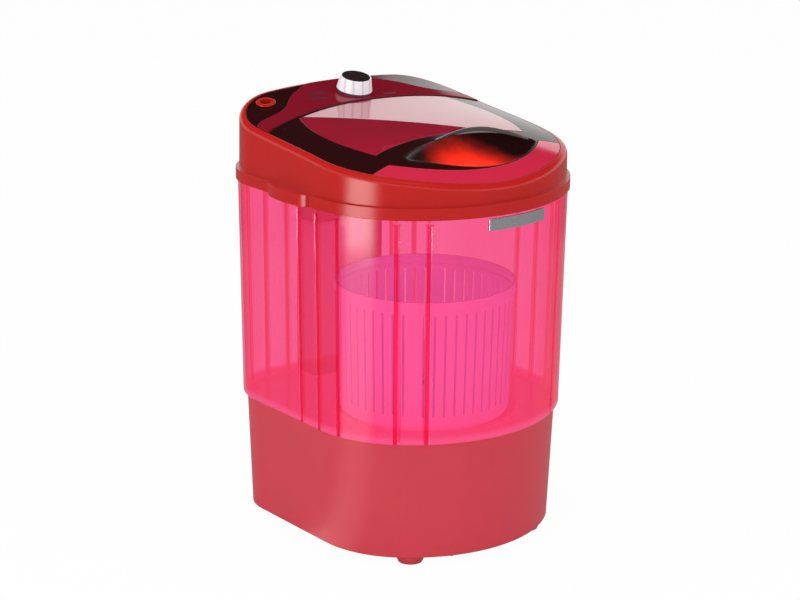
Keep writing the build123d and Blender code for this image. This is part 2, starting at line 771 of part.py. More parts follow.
# Top frame: lip over the tub rim with two carrying grips, ring wall, ledge and rear deck
lip_top = RIM + LIP_SHOULDER
lip_foot = lip_top - LIP_HEIGHT
ring_inner = RING_GROW - WALL
grip_x = HALF_WIDTH + LIP_GROW
boss_inner_x = HINGE_LUG_X + HINGE_LUG_WIDTH + SHUT_GAP / 2
boss_outer_x = HALF_WIDTH + RING_TOP_GROW - RIM_ROUND / 2
with BuildPart() as cavity:
    with BuildSketch(level(RIM)):
        add(d_plan(ring_inner))
    extrude(amount=SKY - RIM)
    add(above(-LEDGE_DROP - WALL), mode=Mode.SUBTRACT)
with BuildPart() as ring_block:
    add(d_body(RIM, RING_GROW, SKY, RING_TOP_GROW))
    add(above(0), mode=Mode.SUBTRACT)
    fillet(ring_block.faces().sort_by(Axis.Z)[-1].edges(), RIM_ROUND)
with BuildPart() as top_frame:
    with BuildSketch(level(lip_foot)):
        add(d_plan(LIP_GROW))
        with Locations((grip_x, GRIP_Y), (-grip_x, GRIP_Y)):
            Ellipse(GRIP_REACH, GRIP_HALF_LENGTH)
    extrude(amount=LIP_HEIGHT)
    with BuildSketch(level(lip_foot)):
        add(d_plan(TUB_HIGH_GROW + SEAT_GAP))
        with Locations((grip_x, GRIP_Y), (-grip_x, GRIP_Y)):
            Ellipse(GRIP_REACH - LIP_WALL, GRIP_HALF_LENGTH - LIP_WALL)
    extrude(amount=RIM - lip_foot, mode=Mode.SUBTRACT)
    add(ring_block.part)
    add(cavity.part, mode=Mode.SUBTRACT)
    add(skin(d_plan(LID_EDGE_GROW), -LEDGE_DROP, RIM_ROUND), mode=Mode.SUBTRACT)
    with BuildSketch(level(RIM)):
        add(opening_plan.sketch)
    extrude(amount=SKY - RIM, mode=Mode.SUBTRACT)
    add(swing_zone.part, mode=Mode.SUBTRACT)
    for side in (-1, 1):
        with BuildSketch(Plane((side * boss_inner_x, ARC_Y + HINGE_Y, HINGE_Z), z_dir=(side, 0, 0))):
            Circle(HINGE_BOSS_RADIUS)
            Circle(HINGE_PIN_RADIUS, mode=Mode.SUBTRACT)
        extrude(amount=boss_outer_x - boss_inner_x)
    with BuildSketch(dial_plane):
        Circle(TIMER_NECK_RADIUS + RUN_FIT)
    extrude(amount=-4 * WALL, mode=Mode.SUBTRACT)
    with BuildSketch(port_plane):
        Circle(PORT_BORE + PORT_WALL + SCREW_FIT)
    extrude(amount=-4 * WALL, mode=Mode.SUBTRACT)
save(top_frame.part, "top_frame")

# Control panel: round table with two arms, standing a little proud, undercut for the lid
with BuildPart() as control_panel:
    add(skin(panel_plan.sketch, -LEDGE_DROP, PANEL_RAISE))
    add(swing_zone.part, mode=Mode.SUBTRACT)
    with BuildSketch(dial_plane):
        Circle(TIMER_NECK_RADIUS + RUN_FIT)
    extrude(amount=4 * WALL, both=True, mode=Mode.SUBTRACT)
save(control_panel.part, "control_panel")

# Rear trims in the back corners, the left one pierced for the water inlet
with BuildPart() as rear_trims:
    add(skin(rear_plan.sketch, -LEDGE_DROP, 0))
    with BuildSketch(port_plane):
        Circle(PORT_BORE + PORT_WALL + SCREW_FIT)
    extrude(amount=4 * WALL, both=True, mode=Mode.SUBTRACT)
rear_trim_left = rear_trims.part.solids().sort_by(Axis.X)[0]
rear_trim_right = rear_trims.part.solids().sort_by(Axis.X)[-1]
save(rear_trim_left, "rear_trim_left")
save(rear_trim_right, "rear_trim_right")

# Water inlet: flanged tube through the left rear trim
with BuildPart() as inlet_port:
    with BuildSketch(port_plane):
        Circle(PORT_BORE + PORT_WALL)
    extrude(amount=-PORT_LENGTH)
    with BuildSketch(port_plane.offset(PORT_FLANGE_LIFT)):
        Circle(PORT_RADIUS)
    extrude(amount=PORT_FLANGE)
    fillet(inlet_port.faces().sort_by(port_axis)[-1].edges(), PORT_FLANGE / 2)
    with BuildSketch(port_plane):
        Circle(PORT_BORE + PORT_WALL)
    extrude(amount=PORT_FLANGE_LIFT)
    with BuildSketch(port_plane.offset(PORT_FLANGE_LIFT + PORT_FLANGE)):
        Circle(PORT_BORE)
    extrude(amount=-2 * PORT_LENGTH, mode=Mode.SUBTRACT)
save(inlet_port.part, "inlet_port")

# Crescent trim in front of the lid
with BuildPart() as front_trim:
    add(skin(trim_plan.sketch, -LEDGE_DROP, 0))
save(front_trim.part, "front_trim")

# Badge plate, bare, curved with the front of the tub just under the lip
badge_top = lip_foot - BADGE_DROP
badge_seat_grow = TUB_LOW_GROW + TUB_FLARE * (badge_top - SEAM) / TUB_HEIGHT
with BuildPart() as badge_plate:
    with BuildSketch(level(badge_top)):
        add(d_band(badge_seat_grow + BADGE_THICKNESS, badge_seat_grow))
        with Locations((BADGE_X, -FRONT_RADIUS)):
            Rectangle(BADGE_LENGTH, FRONT_RADIUS, mode=Mode.INTERSECT)
    extrude(amount=-BADGE_HEIGHT)
    fillet(badge_plate.edges().filter_by(Axis.Z), BADGE_THICKNESS / 4)
save(badge_plate.part, "badge_plate")

# Lid frame: smoked rim with a rebate for the window, a hole for the scoop and hinge lugs
def window_plan(grow):
    """Plan of the window, bowed at the front, sides and back."""
    with BuildSketch() as plan:
        with BuildLine():
            for x in (1, -1):
                ThreePointArc(
                    (x * WINDOW_FRONT_X, WINDOW_FRONT_Y),
                    (x * WINDOW_SIDE_X, (WINDOW_FRONT_Y + WINDOW_REAR_Y) / 2),
                    (x * WINDOW_REAR_X, WINDOW_REAR_Y),
                )
            ThreePointArc(
                (-WINDOW_FRONT_X, WINDOW_FRONT_Y),
                (0, WINDOW_FRONT_Y + WINDOW_BOW),
                (WINDOW_FRONT_X, WINDOW_FRONT_Y),
            )
            ThreePointArc(
                (-WINDOW_REAR_X, WINDOW_REAR_Y), (0, WINDOW_BACK_Y), (WINDOW_REAR_X, WINDOW_REAR_Y)
            )
        make_face()
        offset(amount=grow, kind=Kind.INTERSECTION)
    return plan.sketch


def scoop_bowl(grow):
    """Bowl that dips through the lid, lofted through arcs that hang from the top surface."""
    with BuildPart() as bowl:
        for x, front, back, depth in SCOOP_STATIONS:
            reach = (x - SCOOP_STATIONS[0][0]) / (SCOOP_STATIONS[-1][0] - SCOOP_STATIONS[0][0])
            with BuildSketch(Plane((x + grow * (2 * reach - 1), ARC_Y, 0), x_dir=(0, 1, 0), z_dir=(1, 0, 0))):
                start = (front - grow, top_height(x, front))
                end = (back + grow, top_height(x, back))
                sag = ((start[0] + end[0]) / 2, (start[1] + end[1]) / 2 - depth - grow)
                with BuildLine():
                    ThreePointArc(start, sag, end)
                    Polyline(end, (end[0], SKY), (start[0], SKY), start)
                make_face()
        loft()
    return bowl.part


with BuildSketch() as lid_rib_plan:
    add(d_band(OPENING_GROW - SHUT_GAP, OPENING_GROW - SHUT_GAP - 2))
    with Locations((0, HINGE_Y - 2 * LID_RIB_HEIGHT)):
        Rectangle(4 * HALF_WIDTH, HALF_WIDTH, align=(Align.CENTER, Align.MIN), mode=Mode.SUBTRACT)
    add(lid_plan.sketch, mode=Mode.INTERSECT)

with BuildPart() as lid_frame:
    add(skin(lid_plan.sketch, -LID_THICKNESS, 0))
    add(skin(lid_rib_plan.sketch, -LID_RIB_HEIGHT, -LID_THICKNESS))
    add(skin(window_plan(WINDOW_FIT), -WINDOW_THICKNESS, WALL), mode=Mode.SUBTRACT)
    with BuildSketch(level(RIM)):
        add(window_plan(-WINDOW_SEAT))
    extrude(amount=SKY - RIM, mode=Mode.SUBTRACT)
    add(scoop_bowl(SCOOP_WALL), mode=Mode.SUBTRACT)
    for side in (-1, 1):
        lug_centre = (side * HINGE_LUG_X, ARC_Y + HINGE_Y, HINGE_Z)
        lug_plane = Plane(lug_centre, x_dir=(0, side, 0), z_dir=(side, 0, 0))
        lug_reach = top_height(HINGE_LUG_X, HINGE_Y) - HINGE_Z - LID_THICKNESS / 2
        with BuildSketch(lug_plane):
            Circle(HINGE_LUG_RADIUS)
            Rectangle(2 * HINGE_LUG_RADIUS, lug_reach, align=(Align.CENTER, Align.MIN))
        extrude(amount=HINGE_LUG_WIDTH)
        with BuildSketch(lug_plane):
            Circle(HINGE_PIN_RADIUS + RUN_FIT)
        extrude(amount=HINGE_LUG_WIDTH, mode=Mode.SUBTRACT)
save(lid_frame.part, "lid_frame")

with BuildPart() as lid_window:
    add(skin(window_plan(0), -WINDOW_THICKNESS, WINDOW_PROUD))
save(lid_window.part, "lid_window")

with BuildPart() as lid_scoop:
    add(scoop_bowl(SCOOP_WALL))
    add(above(0), mode=Mode.SUBTRACT)
    with BuildSketch(level(RIM)):
        add(lid_plan.sketch)
    extrude(amount=SKY - RIM, mode=Mode.INTERSECT)
    add(scoop_bowl(0), mode=Mode.SUBTRACT)
save(lid_scoop.part, "lid_scoop")

with BuildPart() as hinge_pins:
    for side in (-1, 1):
        with BuildSketch(Plane((side * (HINGE_LUG_X + 1), ARC_Y + HINGE_Y, HINGE_Z), z_dir=(side, 0, 0))):
            Circle(HINGE_PIN_RADIUS)
        extrude(amount=HINGE_PIN_LENGTH)
save(hinge_pins.part, "hinge_pins")

# Wave-shaped handle strip over the back edge of the scoop
def strip_height(x):
    """Height of the top surface under the handle strip."""
    whole = HANDLE_RIGHT[0] - HANDLE_LEFT[0]
    share = (x - HANDLE_LEFT[0]) / whole
    chord = HANDLE_LEFT[1] + share * (HANDLE_RIGHT[1] - HANDLE_LEFT[1])
    middle_share = (HANDLE_MIDDLE[0] - HANDLE_LEFT[0]) / whole
    middle_chord = HANDLE_LEFT[1] + middle_share * (HANDLE_RIGHT[1] - HANDLE_LEFT[1])
    bow = (HANDLE_MIDDLE[1] - middle_chord) / (middle_share * (1 - middle_share))
    return top_height(x, chord + bow * share * (1 - share))


with BuildPart() as lid_handle:
    with BuildSketch(level(RIM)):
        with BuildLine():
            ThreePointArc(HANDLE_LEFT, HANDLE_MIDDLE, HANDLE_RIGHT)
        trace(line_width=HANDLE_THICKNESS)
    extrude(amount=SKY - RIM)
    with BuildSketch(across(0)):
        with BuildLine():
            low = [(x, strip_height(x) + lift) for x, lift, tall in HANDLE_WAVE]
            high = [(x, strip_height(x) + lift + tall) for x, lift, tall in HANDLE_WAVE]
            Spline(*low)
            Spline(*high)
            Line(low[0], high[0])
            Line(low[-1], high[-1])
        make_face()
    extrude(amount=HALF_WIDTH, both=True, mode=Mode.INTERSECT)
    add(above(0), mode=Mode.INTERSECT)
save(lid_handle.part, "lid_handle")

# Timer switch under the deck, its shaft, and the dial with its dark cap
with BuildPart() as timer_switch:
    with BuildSketch(dial_plane.offset(-TIMER_TOP_DROP)):
        with Locations((0, (TIMER_BACK - TIMER_FRONT) / 2)):
            RectangleRounded(TIMER_WIDTH, TIMER_FRONT + TIMER_BACK, DUCT_WALL)
    extrude(amount=-TIMER_DEPTH)
    with BuildSketch(dial_plane.offset(-TIMER_TOP_DROP)):
        Circle(TIMER_NECK_RADIUS)
    extrude(amount=TIMER_TOP_DROP - SHUT_GAP / 2)
    with BuildSketch(dial_plane):
        Circle(TIMER_SHAFT_RADIUS + RUN_FIT)
    extrude(amount=-TIMER_TOP_DROP - TIMER_DEPTH + DUCT_WALL, mode=Mode.SUBTRACT)
save(timer_switch.part, "timer_switch")

shaft_drop = TIMER_TOP_DROP + TIMER_DEPTH - 2 * DUCT_WALL
with BuildPart() as timer_shaft:
    with BuildSketch(dial_plane.offset(-shaft_drop)):
        Circle(TIMER_SHAFT_RADIUS)
    extrude(amount=shaft_drop + DIAL_COLLAR_HEIGHT + DIAL_GAP + DIAL_HEIGHT / 2 - SEAT_GAP)
save(timer_shaft.part, "timer_shaft")

# Collar under the dial, standing on the panel
with BuildPart() as dial_collar:
    with BuildSketch(dial_plane.offset(-DIAL_COLLAR_HEIGHT)):
        Circle(DIAL_COLLAR_RADIUS)
        Circle(TIMER_NECK_RADIUS + SEAT_GAP, mode=Mode.SUBTRACT)
    extrude(amount=2 * DIAL_COLLAR_HEIGHT)
    add(above(PANEL_RAISE + PRESS_FIT), mode=Mode.INTERSECT)
save(dial_collar.part, "dial_collar")

dial_foot = dial_plane.offset(DIAL_COLLAR_HEIGHT + DIAL_GAP)
dial_crown = dial_foot.offset(DIAL_HEIGHT)
with BuildPart() as timer_knob:
    with BuildSketch(dial_foot):
        RegularPolygon(DIAL_FOOT_RADIUS, DIAL_SIDES)
    with BuildSketch(dial_crown):
        RegularPolygon(DIAL_TOP_RADIUS, DIAL_SIDES)
    loft(ruled=True)
    with BuildSketch(dial_crown):
        Circle(DIAL_CAP_RADIUS + PRESS_FIT)
    extrude(amount=-DIAL_CAP_DEPTH, mode=Mode.SUBTRACT)
    with BuildSketch(dial_foot):
        Circle(TIMER_SHAFT_RADIUS + PRESS_FIT)
    extrude(amount=DIAL_HEIGHT / 2, mode=Mode.SUBTRACT)
    with BuildSketch(dial_foot):
        Circle(DIAL_CAP_RADIUS - WALL / 2)
        Circle(TIMER_SHAFT_RADIUS + WALL, mode=Mode.SUBTRACT)
    extrude(amount=DIAL_HEIGHT / 2, mode=Mode.SUBTRACT)
save(timer_knob.part, "timer_knob")

with BuildPart() as knob_cap:
    with BuildSketch(dial_crown.offset(-DIAL_CAP_DEPTH)):
        Circle(DIAL_CAP_RADIUS)
    extrude(amount=DIAL_CAP_DEPTH + DIAL_CAP_PROUD)
    fillet(knob_cap.faces().sort_by(dial_axis)[-1].edges(), DIAL_CAP_PROUD)
    with BuildSketch(dial_crown.offset(DIAL_CAP_PROUD)):
        with Locations((0, DIAL_CAP_RADIUS * 0.7)):
            Rectangle(SHUT_GAP, DIAL_CAP_RADIUS / 4)
    extrude(amount=-DIAL_CAP_PROUD / 2, mode=Mode.SUBTRACT)
save(knob_cap.part, "knob_cap")

# Basket: tapered wall with groups of slots under a plain band, and a hub over the pulsator boss
basket_foot = WELL_TOP + PULSATOR_GAP + PULSATOR_THICKNESS + PULSATOR_VANE_HEIGHT + BASKET_LIFT_GAP
basket_top = basket_foot + BASKET_HEIGHT
band_radius = BASKET_RIM_RADIUS - BASKET_BAND_STEP
basket_plane = Plane((0, ARC_Y + WELL_Y, 0))
pulsator_foot = WELL_TOP + PULSATOR_GAP
boss_top = pulsator_foot + PULSATOR_BOSS_HEIGHT
shaft_top = boss_top - SHAFT_COVER
shaft_tap = SCREW_LENGTH - SHAFT_COVER + SHUT_GAP
with BuildPart() as spin_basket:
    with BuildSketch(basket_plane.offset(basket_foot)):
        Circle(BASKET_FOOT_RADIUS)
    with BuildSketch(basket_plane.offset(basket_top)):
        Circle(band_radius)
    loft(ruled=True)
    fillet(spin_basket.edges().group_by(Axis.Z)[0], BASKET_FOOT_ROUND)
    with BuildSketch(basket_plane.offset(basket_top)):
        Circle(BASKET_RIM_RADIUS)
    extrude(amount=-BASKET_BAND)
    offset(amount=-BASKET_WALL, openings=spin_basket.faces().sort_by(Axis.Z)[-1])
    slot_height = basket_top - BASKET_BAND - BASKET_SLOT_GAP - basket_foot - BASKET_SLOT_FOOT
    slot_middle = basket_foot + BASKET_SLOT_FOOT + slot_height / 2
    group_turn = 360 / BASKET_SLOT_GROUPS
    spread = BASKET_SLOT_ANGLE * (BASKET_SLOTS_IN_GROUP - 1)
    for group in range(BASKET_SLOT_GROUPS):
        start = group * group_turn - spread / 2
        with Locations((0, ARC_Y + WELL_Y, slot_middle)):
            with PolarLocations(
                BASKET_FOOT_RADIUS, BASKET_SLOTS_IN_GROUP, start_angle=start, angular_range=spread, endpoint=True
            ):
                Box(4 * BASKET_WALL, BASKET_SLOT_WIDTH, slot_height, mode=Mode.SUBTRACT)
    with BuildSketch(basket_plane.offset(basket_foot)):
        Circle(PULSATOR_BOSS_RADIUS + SEAT_GAP + BASKET_WALL)
    extrude(amount=BASKET_HUB_HEIGHT)
    with BuildSketch(basket_plane.offset(basket_foot)):
        Circle(PULSATOR_BOSS_RADIUS + SEAT_GAP)
        with PolarLocations(BASKET_FOOT_RADIUS / 2, BASKET_DRAINS):
            Circle(BASKET_DRAIN_RADIUS)
    extrude(amount=BASKET_HUB_HEIGHT, mode=Mode.SUBTRACT)
save(spin_basket.part, "spin_basket")

# Pulsator: dished disc with curved-edged vanes and a tall boss that centres the basket
with BuildPart() as pulsator:
    with BuildSketch(basket_plane.offset(pulsator_foot)):
        Circle(PULSATOR_RADIUS)
    extrude(amount=PULSATOR_THICKNESS)
    fillet(pulsator.edges(), PULSATOR_THICKNESS / 3)
    with BuildSketch(basket_plane.offset(pulsator_foot + PULSATOR_THICKNESS)):
        with PolarLocations(PULSATOR_RADIUS / 2, PULSATOR_VANES):
            SlotOverall(PULSATOR_RADIUS * 0.9, 2 * PULSATOR_VANE_HEIGHT)
    extrude(amount=PULSATOR_VANE_HEIGHT, taper=20)
    with BuildSketch(basket_plane.offset(pulsator_foot)):
        Circle(PULSATOR_BOSS_RADIUS)
    extrude(amount=PULSATOR_BOSS_HEIGHT)
    fillet(pulsator.edges().group_by(Axis.Z)[-1], PULSATOR_THICKNESS / 3)
    with BuildSketch(basket_plane.offset(pulsator_foot)):
        Circle(SHAFT_RADIUS + PRESS_FIT)
    extrude(amount=shaft_top - pulsator_foot, mode=Mode.SUBTRACT)
    with BuildSketch(basket_plane.offset(boss_top)):
        Circle(SCREW_RADIUS)
    extrude(amount=shaft_top - boss_top, mode=Mode.SUBTRACT)
save(pulsator.part, "pulsator")

with BuildPart() as pulsator_screw:
    with Locations((0, ARC_Y + WELL_Y)):
        add(screw(boss_top))
save(pulsator_screw.part, "pulsator_screw")

# Drive shaft in two bushes, in a housing that hangs under the well
with BuildPart() as drive_shaft:
    with BuildSketch(basket_plane.offset(SHAFT_FOOT)):
        Circle(SHAFT_RADIUS)
    extrude(amount=shaft_top - SHAFT_FOOT)
    with BuildSketch(basket_plane.offset(shaft_top)):
        Circle(SCREW_RADIUS + PRESS_FIT)
    extrude(amount=-shaft_tap, mode=Mode.SUBTRACT)
    chamfer(drive_shaft.edges().group_by(Axis.Z)[0], RUN_FIT * 10)
save(drive_shaft.part, "drive_shaft")

bearing_foot = WELL_FLOOR - BEARING_LENGTH
with BuildPart() as bearing_housing:
    with BuildSketch(basket_plane.offset(bearing_foot)):
        Circle(BEARING_RADIUS)
    extrude(amount=BEARING_LENGTH)
    with BuildSketch(basket_plane.offset(WELL_FLOOR)):
        Circle(BEARING_FLANGE_RADIUS)
    extrude(amount=-WALL)
    for turn in range(4):
        with BuildSketch(Plane((0, ARC_Y + WELL_Y, WELL_FLOOR - WALL), x_dir=(cos(radians(90 * turn)), sin(radians(90 * turn)), 0), z_dir=(sin(radians(90 * turn)), -cos(radians(90 * turn)), 0))):
            with BuildLine():
                Polyline(
                    (BUSH_RADIUS + 1, 0),
                    (BEARING_FLANGE_RADIUS - WALL, 0),
                    (BUSH_RADIUS + 1, -BEARING_LENGTH / 2),
                    close=True,
                )
            make_face()
        extrude(amount=WALL / 2, both=True)
    with BuildSketch(basket_plane.offset(bearing_foot)):
        Circle(BUSH_RADIUS)
    extrude(amount=BEARING_LENGTH, mode=Mode.SUBTRACT)
    with BuildSketch(basket_plane.offset(WELL_FLOOR)):
        with PolarLocations(BEARING_SCREW_CIRCLE, 4, start_angle=45):
            Circle(SCREW_RADIUS + SCREW_FIT)
    extrude(amount=-WALL, mode=Mode.SUBTRACT)
save(bearing_housing.part, "bearing_housing")

with BuildPart() as bearing_screws:
    with Locations((0, ARC_Y + WELL_Y)):
        with PolarLocations(BEARING_SCREW_CIRCLE, 4, start_angle=45):
            add(short_screw(WELL_FLOOR - WALL))
save(bearing_screws.part, "bearing_screws")

with BuildPart() as shaft_bushes:
    for foot in (bearing_foot, WELL_FLOOR - BUSH_LENGTH):
        with BuildSketch(basket_plane.offset(foot)):
            Circle(BUSH_RADIUS)
            Circle(SHAFT_RADIUS + RUN_FIT, mode=Mode.SUBTRACT)
        extrude(amount=BUSH_LENGTH)
save(shaft_bushes.part, "shaft_bushes")

with BuildPart() as shaft_seal:
    with BuildSketch(basket_plane.offset(WELL_FLOOR)):
        Circle(BUSH_RADIUS)
        Circle(SHAFT_RADIUS + RUN_FIT, mode=Mode.SUBTRACT)
    extrude(amount=WALL)
    fillet(shaft_seal.edges().group_by(Axis.Z)[-1].sort_by(SortBy.LENGTH)[-1], WALL / 4)
save(shaft_seal.part, "shaft_seal")

# Pulleys and belt
pulley_height = BELT_WIDTH + 2 * BELT_GAP + 2 * PULLEY_FLANGE
pulley_foot = BELT_Z - pulley_height / 2
with BuildPart() as driven_pulley:
    with Locations((0, ARC_Y + WELL_Y)):
        add(pulley(DRIVEN_PITCH, SHAFT_RADIUS, pulley_foot))
    for face_z, way in ((pulley_foot, 1), (pulley_foot + pulley_height, -1)):
        with BuildSketch(basket_plane.offset(face_z)):
            Circle(DRIVEN_PITCH - BELT_THICKNESS - PULLEY_WEB)
            Circle(PULLEY_HUB_RADIUS, mode=Mode.SUBTRACT)
        extrude(amount=way * (pulley_height - PULLEY_WEB) / 2, mode=Mode.SUBTRACT)
    with BuildSketch(basket_plane.offset(pulley_foot)):
        with PolarLocations((DRIVEN_PITCH + PULLEY_HUB_RADIUS) / 2 - PULLEY_WEB / 2, PULLEY_HOLES):
            Circle(PULLEY_HOLE_RADIUS)
    extrude(amount=pulley_height, mode=Mode.SUBTRACT)
save(driven_pulley.part, "driven_pulley")

with BuildPart() as motor_pulley:
    with Locations((0, ARC_Y + MOTOR_Y)):
        add(pulley(DRIVING_PITCH, MOTOR_SHAFT_RADIUS, pulley_foot))
save(motor_pulley.part, "motor_pulley")


def belt_loop(inset):
    """Face inside a line round both pulleys, a distance outside the pitch line."""
    with BuildSketch() as loop:
        with BuildLine():
            span = MOTOR_Y - WELL_Y
            lean = degrees(asin((DRIVEN_PITCH - DRIVING_PITCH) / span))
            big = DRIVEN_PITCH + inset
            small = DRIVING_PITCH + inset
            rear = CenterArc((0, MOTOR_Y), small, lean, 180 - 2 * lean)
            front = CenterArc((0, WELL_Y), big, 180 - lean, 180 + 2 * lean)
            Line(rear @ 1, front @ 0)
            Line(front @ 1, rear @ 0)
        make_face()
    return loop.sketch


with BuildPart() as drive_belt:
    with BuildSketch(level(BELT_Z - BELT_WIDTH / 2)):
        add(belt_loop(BELT_THICKNESS / 2))
        add(belt_loop(-BELT_THICKNESS / 2), mode=Mode.SUBTRACT)
    extrude(amount=BELT_WIDTH)
save(drive_belt.part, "drive_belt")

# Motor on a plate, on grommets over the four posts
motor_plane = Plane((0, ARC_Y + MOTOR_Y, 0))
with BuildPart() as motor:
    with BuildSketch(motor_plane.offset(MOTOR_FOOT)):
        Circle(MOTOR_RADIUS)
    extrude(amount=MOTOR_HEIGHT)
    fillet(motor.edges().filter_by(GeomType.CIRCLE), MOTOR_ROUND)
    with BuildSketch(motor_plane.offset(MOTOR_FOOT)):
        Circle(MOTOR_SHAFT_RADIUS + RUN_FIT)
        with PolarLocations(MOTOR_RADIUS * 0.6, 8):
            SlotOverall(MOTOR_RADIUS / 3, WALL)
    extrude(amount=MOTOR_ROUND, mode=Mode.SUBTRACT)
    with BuildSketch(motor_plane.offset(MOTOR_FOOT + MOTOR_ROUND)):
        Circle(MOTOR_SHAFT_RADIUS + RUN_FIT)
    extrude(amount=MOTOR_HEIGHT, mode=Mode.SUBTRACT)
save(motor.part, "motor")

plate_foot = MOTOR_FOOT - MOTOR_PLATE_THICKNESS
with BuildPart() as motor_plate:
    with BuildSketch(motor_plane.offset(plate_foot)):
        RectangleRounded(MOTOR_PLATE_X, MOTOR_PLATE_Y, GROMMET_RADIUS)
        Circle(PULLEY_HUB_RADIUS, mode=Mode.SUBTRACT)
        with GridLocations(MOTOR_POST_X, MOTOR_POST_Y, 2, 2):
            Circle(SCREW_RADIUS + SCREW_FIT, mode=Mode.SUBTRACT)
    extrude(amount=MOTOR_PLATE_THICKNESS)
save(motor_plate.part, "motor_plate")

with BuildPart() as motor_grommets:
    with BuildSketch(motor_plane.offset(post_top)):
        with GridLocations(MOTOR_POST_X, MOTOR_POST_Y, 2, 2):
            Circle(GROMMET_RADIUS)
            Circle(SCREW_RADIUS + SCREW_FIT, mode=Mode.SUBTRACT)
    extrude(amount=GROMMET_HEIGHT)
save(motor_grommets.part, "motor_grommets")

with BuildPart() as motor_screws:
    with Locations((0, ARC_Y + MOTOR_Y)):
        with GridLocations(MOTOR_POST_X, MOTOR_POST_Y, 2, 2):
            add(screw(MOTOR_FOOT))
save(motor_screws.part, "motor_screws")

with BuildPart() as motor_shaft:
    with BuildSketch(motor_plane.offset(MOTOR_SHAFT_FOOT)):
        Circle(MOTOR_SHAFT_RADIUS)
    extrude(amount=MOTOR_SHAFT_LENGTH)
save(motor_shaft.part, "motor_shaft")

fan_foot = MOTOR_FOOT + MOTOR_HEIGHT + 2 * SHUT_GAP
with BuildPart() as motor_fan:
    with BuildSketch(motor_plane.offset(fan_foot)):
        Circle(PULLEY_HUB_RADIUS)
        Circle(MOTOR_SHAFT_RADIUS + PRESS_FIT, mode=Mode.SUBTRACT)
    extrude(amount=FAN_HEIGHT)
    with BuildSketch(motor_plane.offset(fan_foot)):
        with PolarLocations(FAN_RADIUS / 2 + PULLEY_HUB_RADIUS / 2, FAN_BLADES):
            Rectangle(FAN_RADIUS - PULLEY_HUB_RADIUS + 1, PULLEY_WEB / 2)
    extrude(amount=FAN_HEIGHT)
    with BuildSketch(motor_plane.offset(fan_foot)):
        Circle(FAN_RADIUS)
        Circle(PULLEY_HUB_RADIUS, mode=Mode.SUBTRACT)
    extrude(amount=PULLEY_WEB / 2)
save(motor_fan.part, "motor_fan")

with BuildPart() as capacitor:
    with BuildSketch(Plane((CAPACITOR_X, ARC_Y + CAPACITOR_Y, PLATE_TOP))):
        Circle(CAPACITOR_RADIUS)
    extrude(amount=CAPACITOR_HEIGHT)
    fillet(capacitor.edges().group_by(Axis.Z)[-1], WALL)
    with BuildSketch(Plane((CAPACITOR_X, ARC_Y + CAPACITOR_Y, PLATE_TOP + CAPACITOR_HEIGHT))):
        with GridLocations(CAPACITOR_RADIUS, 0, 2, 1):
            Rectangle(SHUT_GAP, 2 * WALL)
    extrude(amount=2 * WALL)
save(capacitor.part, "capacitor")

# Drain: pipe from the tub floor down and out through the back wall
back_at_drain = BACK_DEPTH + BASE_FLARE * (DRAIN_OUTLET_Z - FOOT_HEIGHT) / BASE_HEIGHT
drain_shoulder = ARC_Y + back_at_drain + SHUT_GAP
with BuildPart() as drain_pipe:
    with BuildLine() as drain_path:
        FilletPolyline(
            (DRAIN_X, ARC_Y + DRAIN_Y, SEAM - WALL),
            (DRAIN_X, ARC_Y + DRAIN_Y, DRAIN_OUTLET_Z),
            (DRAIN_X, drain_shoulder, DRAIN_OUTLET_Z),
            radius=DRAIN_BEND,
        )
    with BuildSketch(Plane((DRAIN_X, ARC_Y + DRAIN_Y, SEAM - WALL))):
        Circle(DRAIN_RADIUS)
        Circle(DRAIN_BORE, mode=Mode.SUBTRACT)
    sweep(path=drain_path.line)
    with BuildSketch(Plane((DRAIN_X, drain_shoulder, DRAIN_OUTLET_Z), z_dir=(0, 1, 0))):
        Circle(DRAIN_SPIGOT_RADIUS)
        Circle(DRAIN_BORE, mode=Mode.SUBTRACT)
    extrude(amount=DRAIN_SPIGOT)
save(drain_pipe.part, "drain_pipe")

# Cable gland in the back wall, with its nut inside
back_at_gland = ARC_Y + BACK_DEPTH + BASE_FLARE * (GLAND_Z - FOOT_HEIGHT) / BASE_HEIGHT
gland_plane = Plane((GLAND_X, back_at_gland + SHUT_GAP / 2, GLAND_Z), z_dir=(0, 1, 0))
with BuildPart() as cable_gland:
    with BuildSketch(gland_plane):
        Circle(GLAND_FLANGE_RADIUS)
    extrude(amount=GLAND_FLANGE)
    fillet(cable_gland.edges().group_by(Axis.Y)[-1], GLAND_FLANGE / 3)
    with BuildSketch(gland_plane):
        Circle(GLAND_RADIUS)
    extrude(amount=-4 * WALL)
    with BuildSketch(gland_plane.offset(GLAND_FLANGE)):
        Circle(GLAND_BORE)
    extrude(amount=-8 * WALL, mode=Mode.SUBTRACT)
save(cable_gland.part, "cable_gland")
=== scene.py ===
from math import radians

import bmesh
import bpy
from bpy.props import FloatProperty, FloatVectorProperty, PointerProperty
from mathutils import Matrix, Vector
from mathutils.bvhtree import BVHTree
from mathutils.kdtree import KDTree


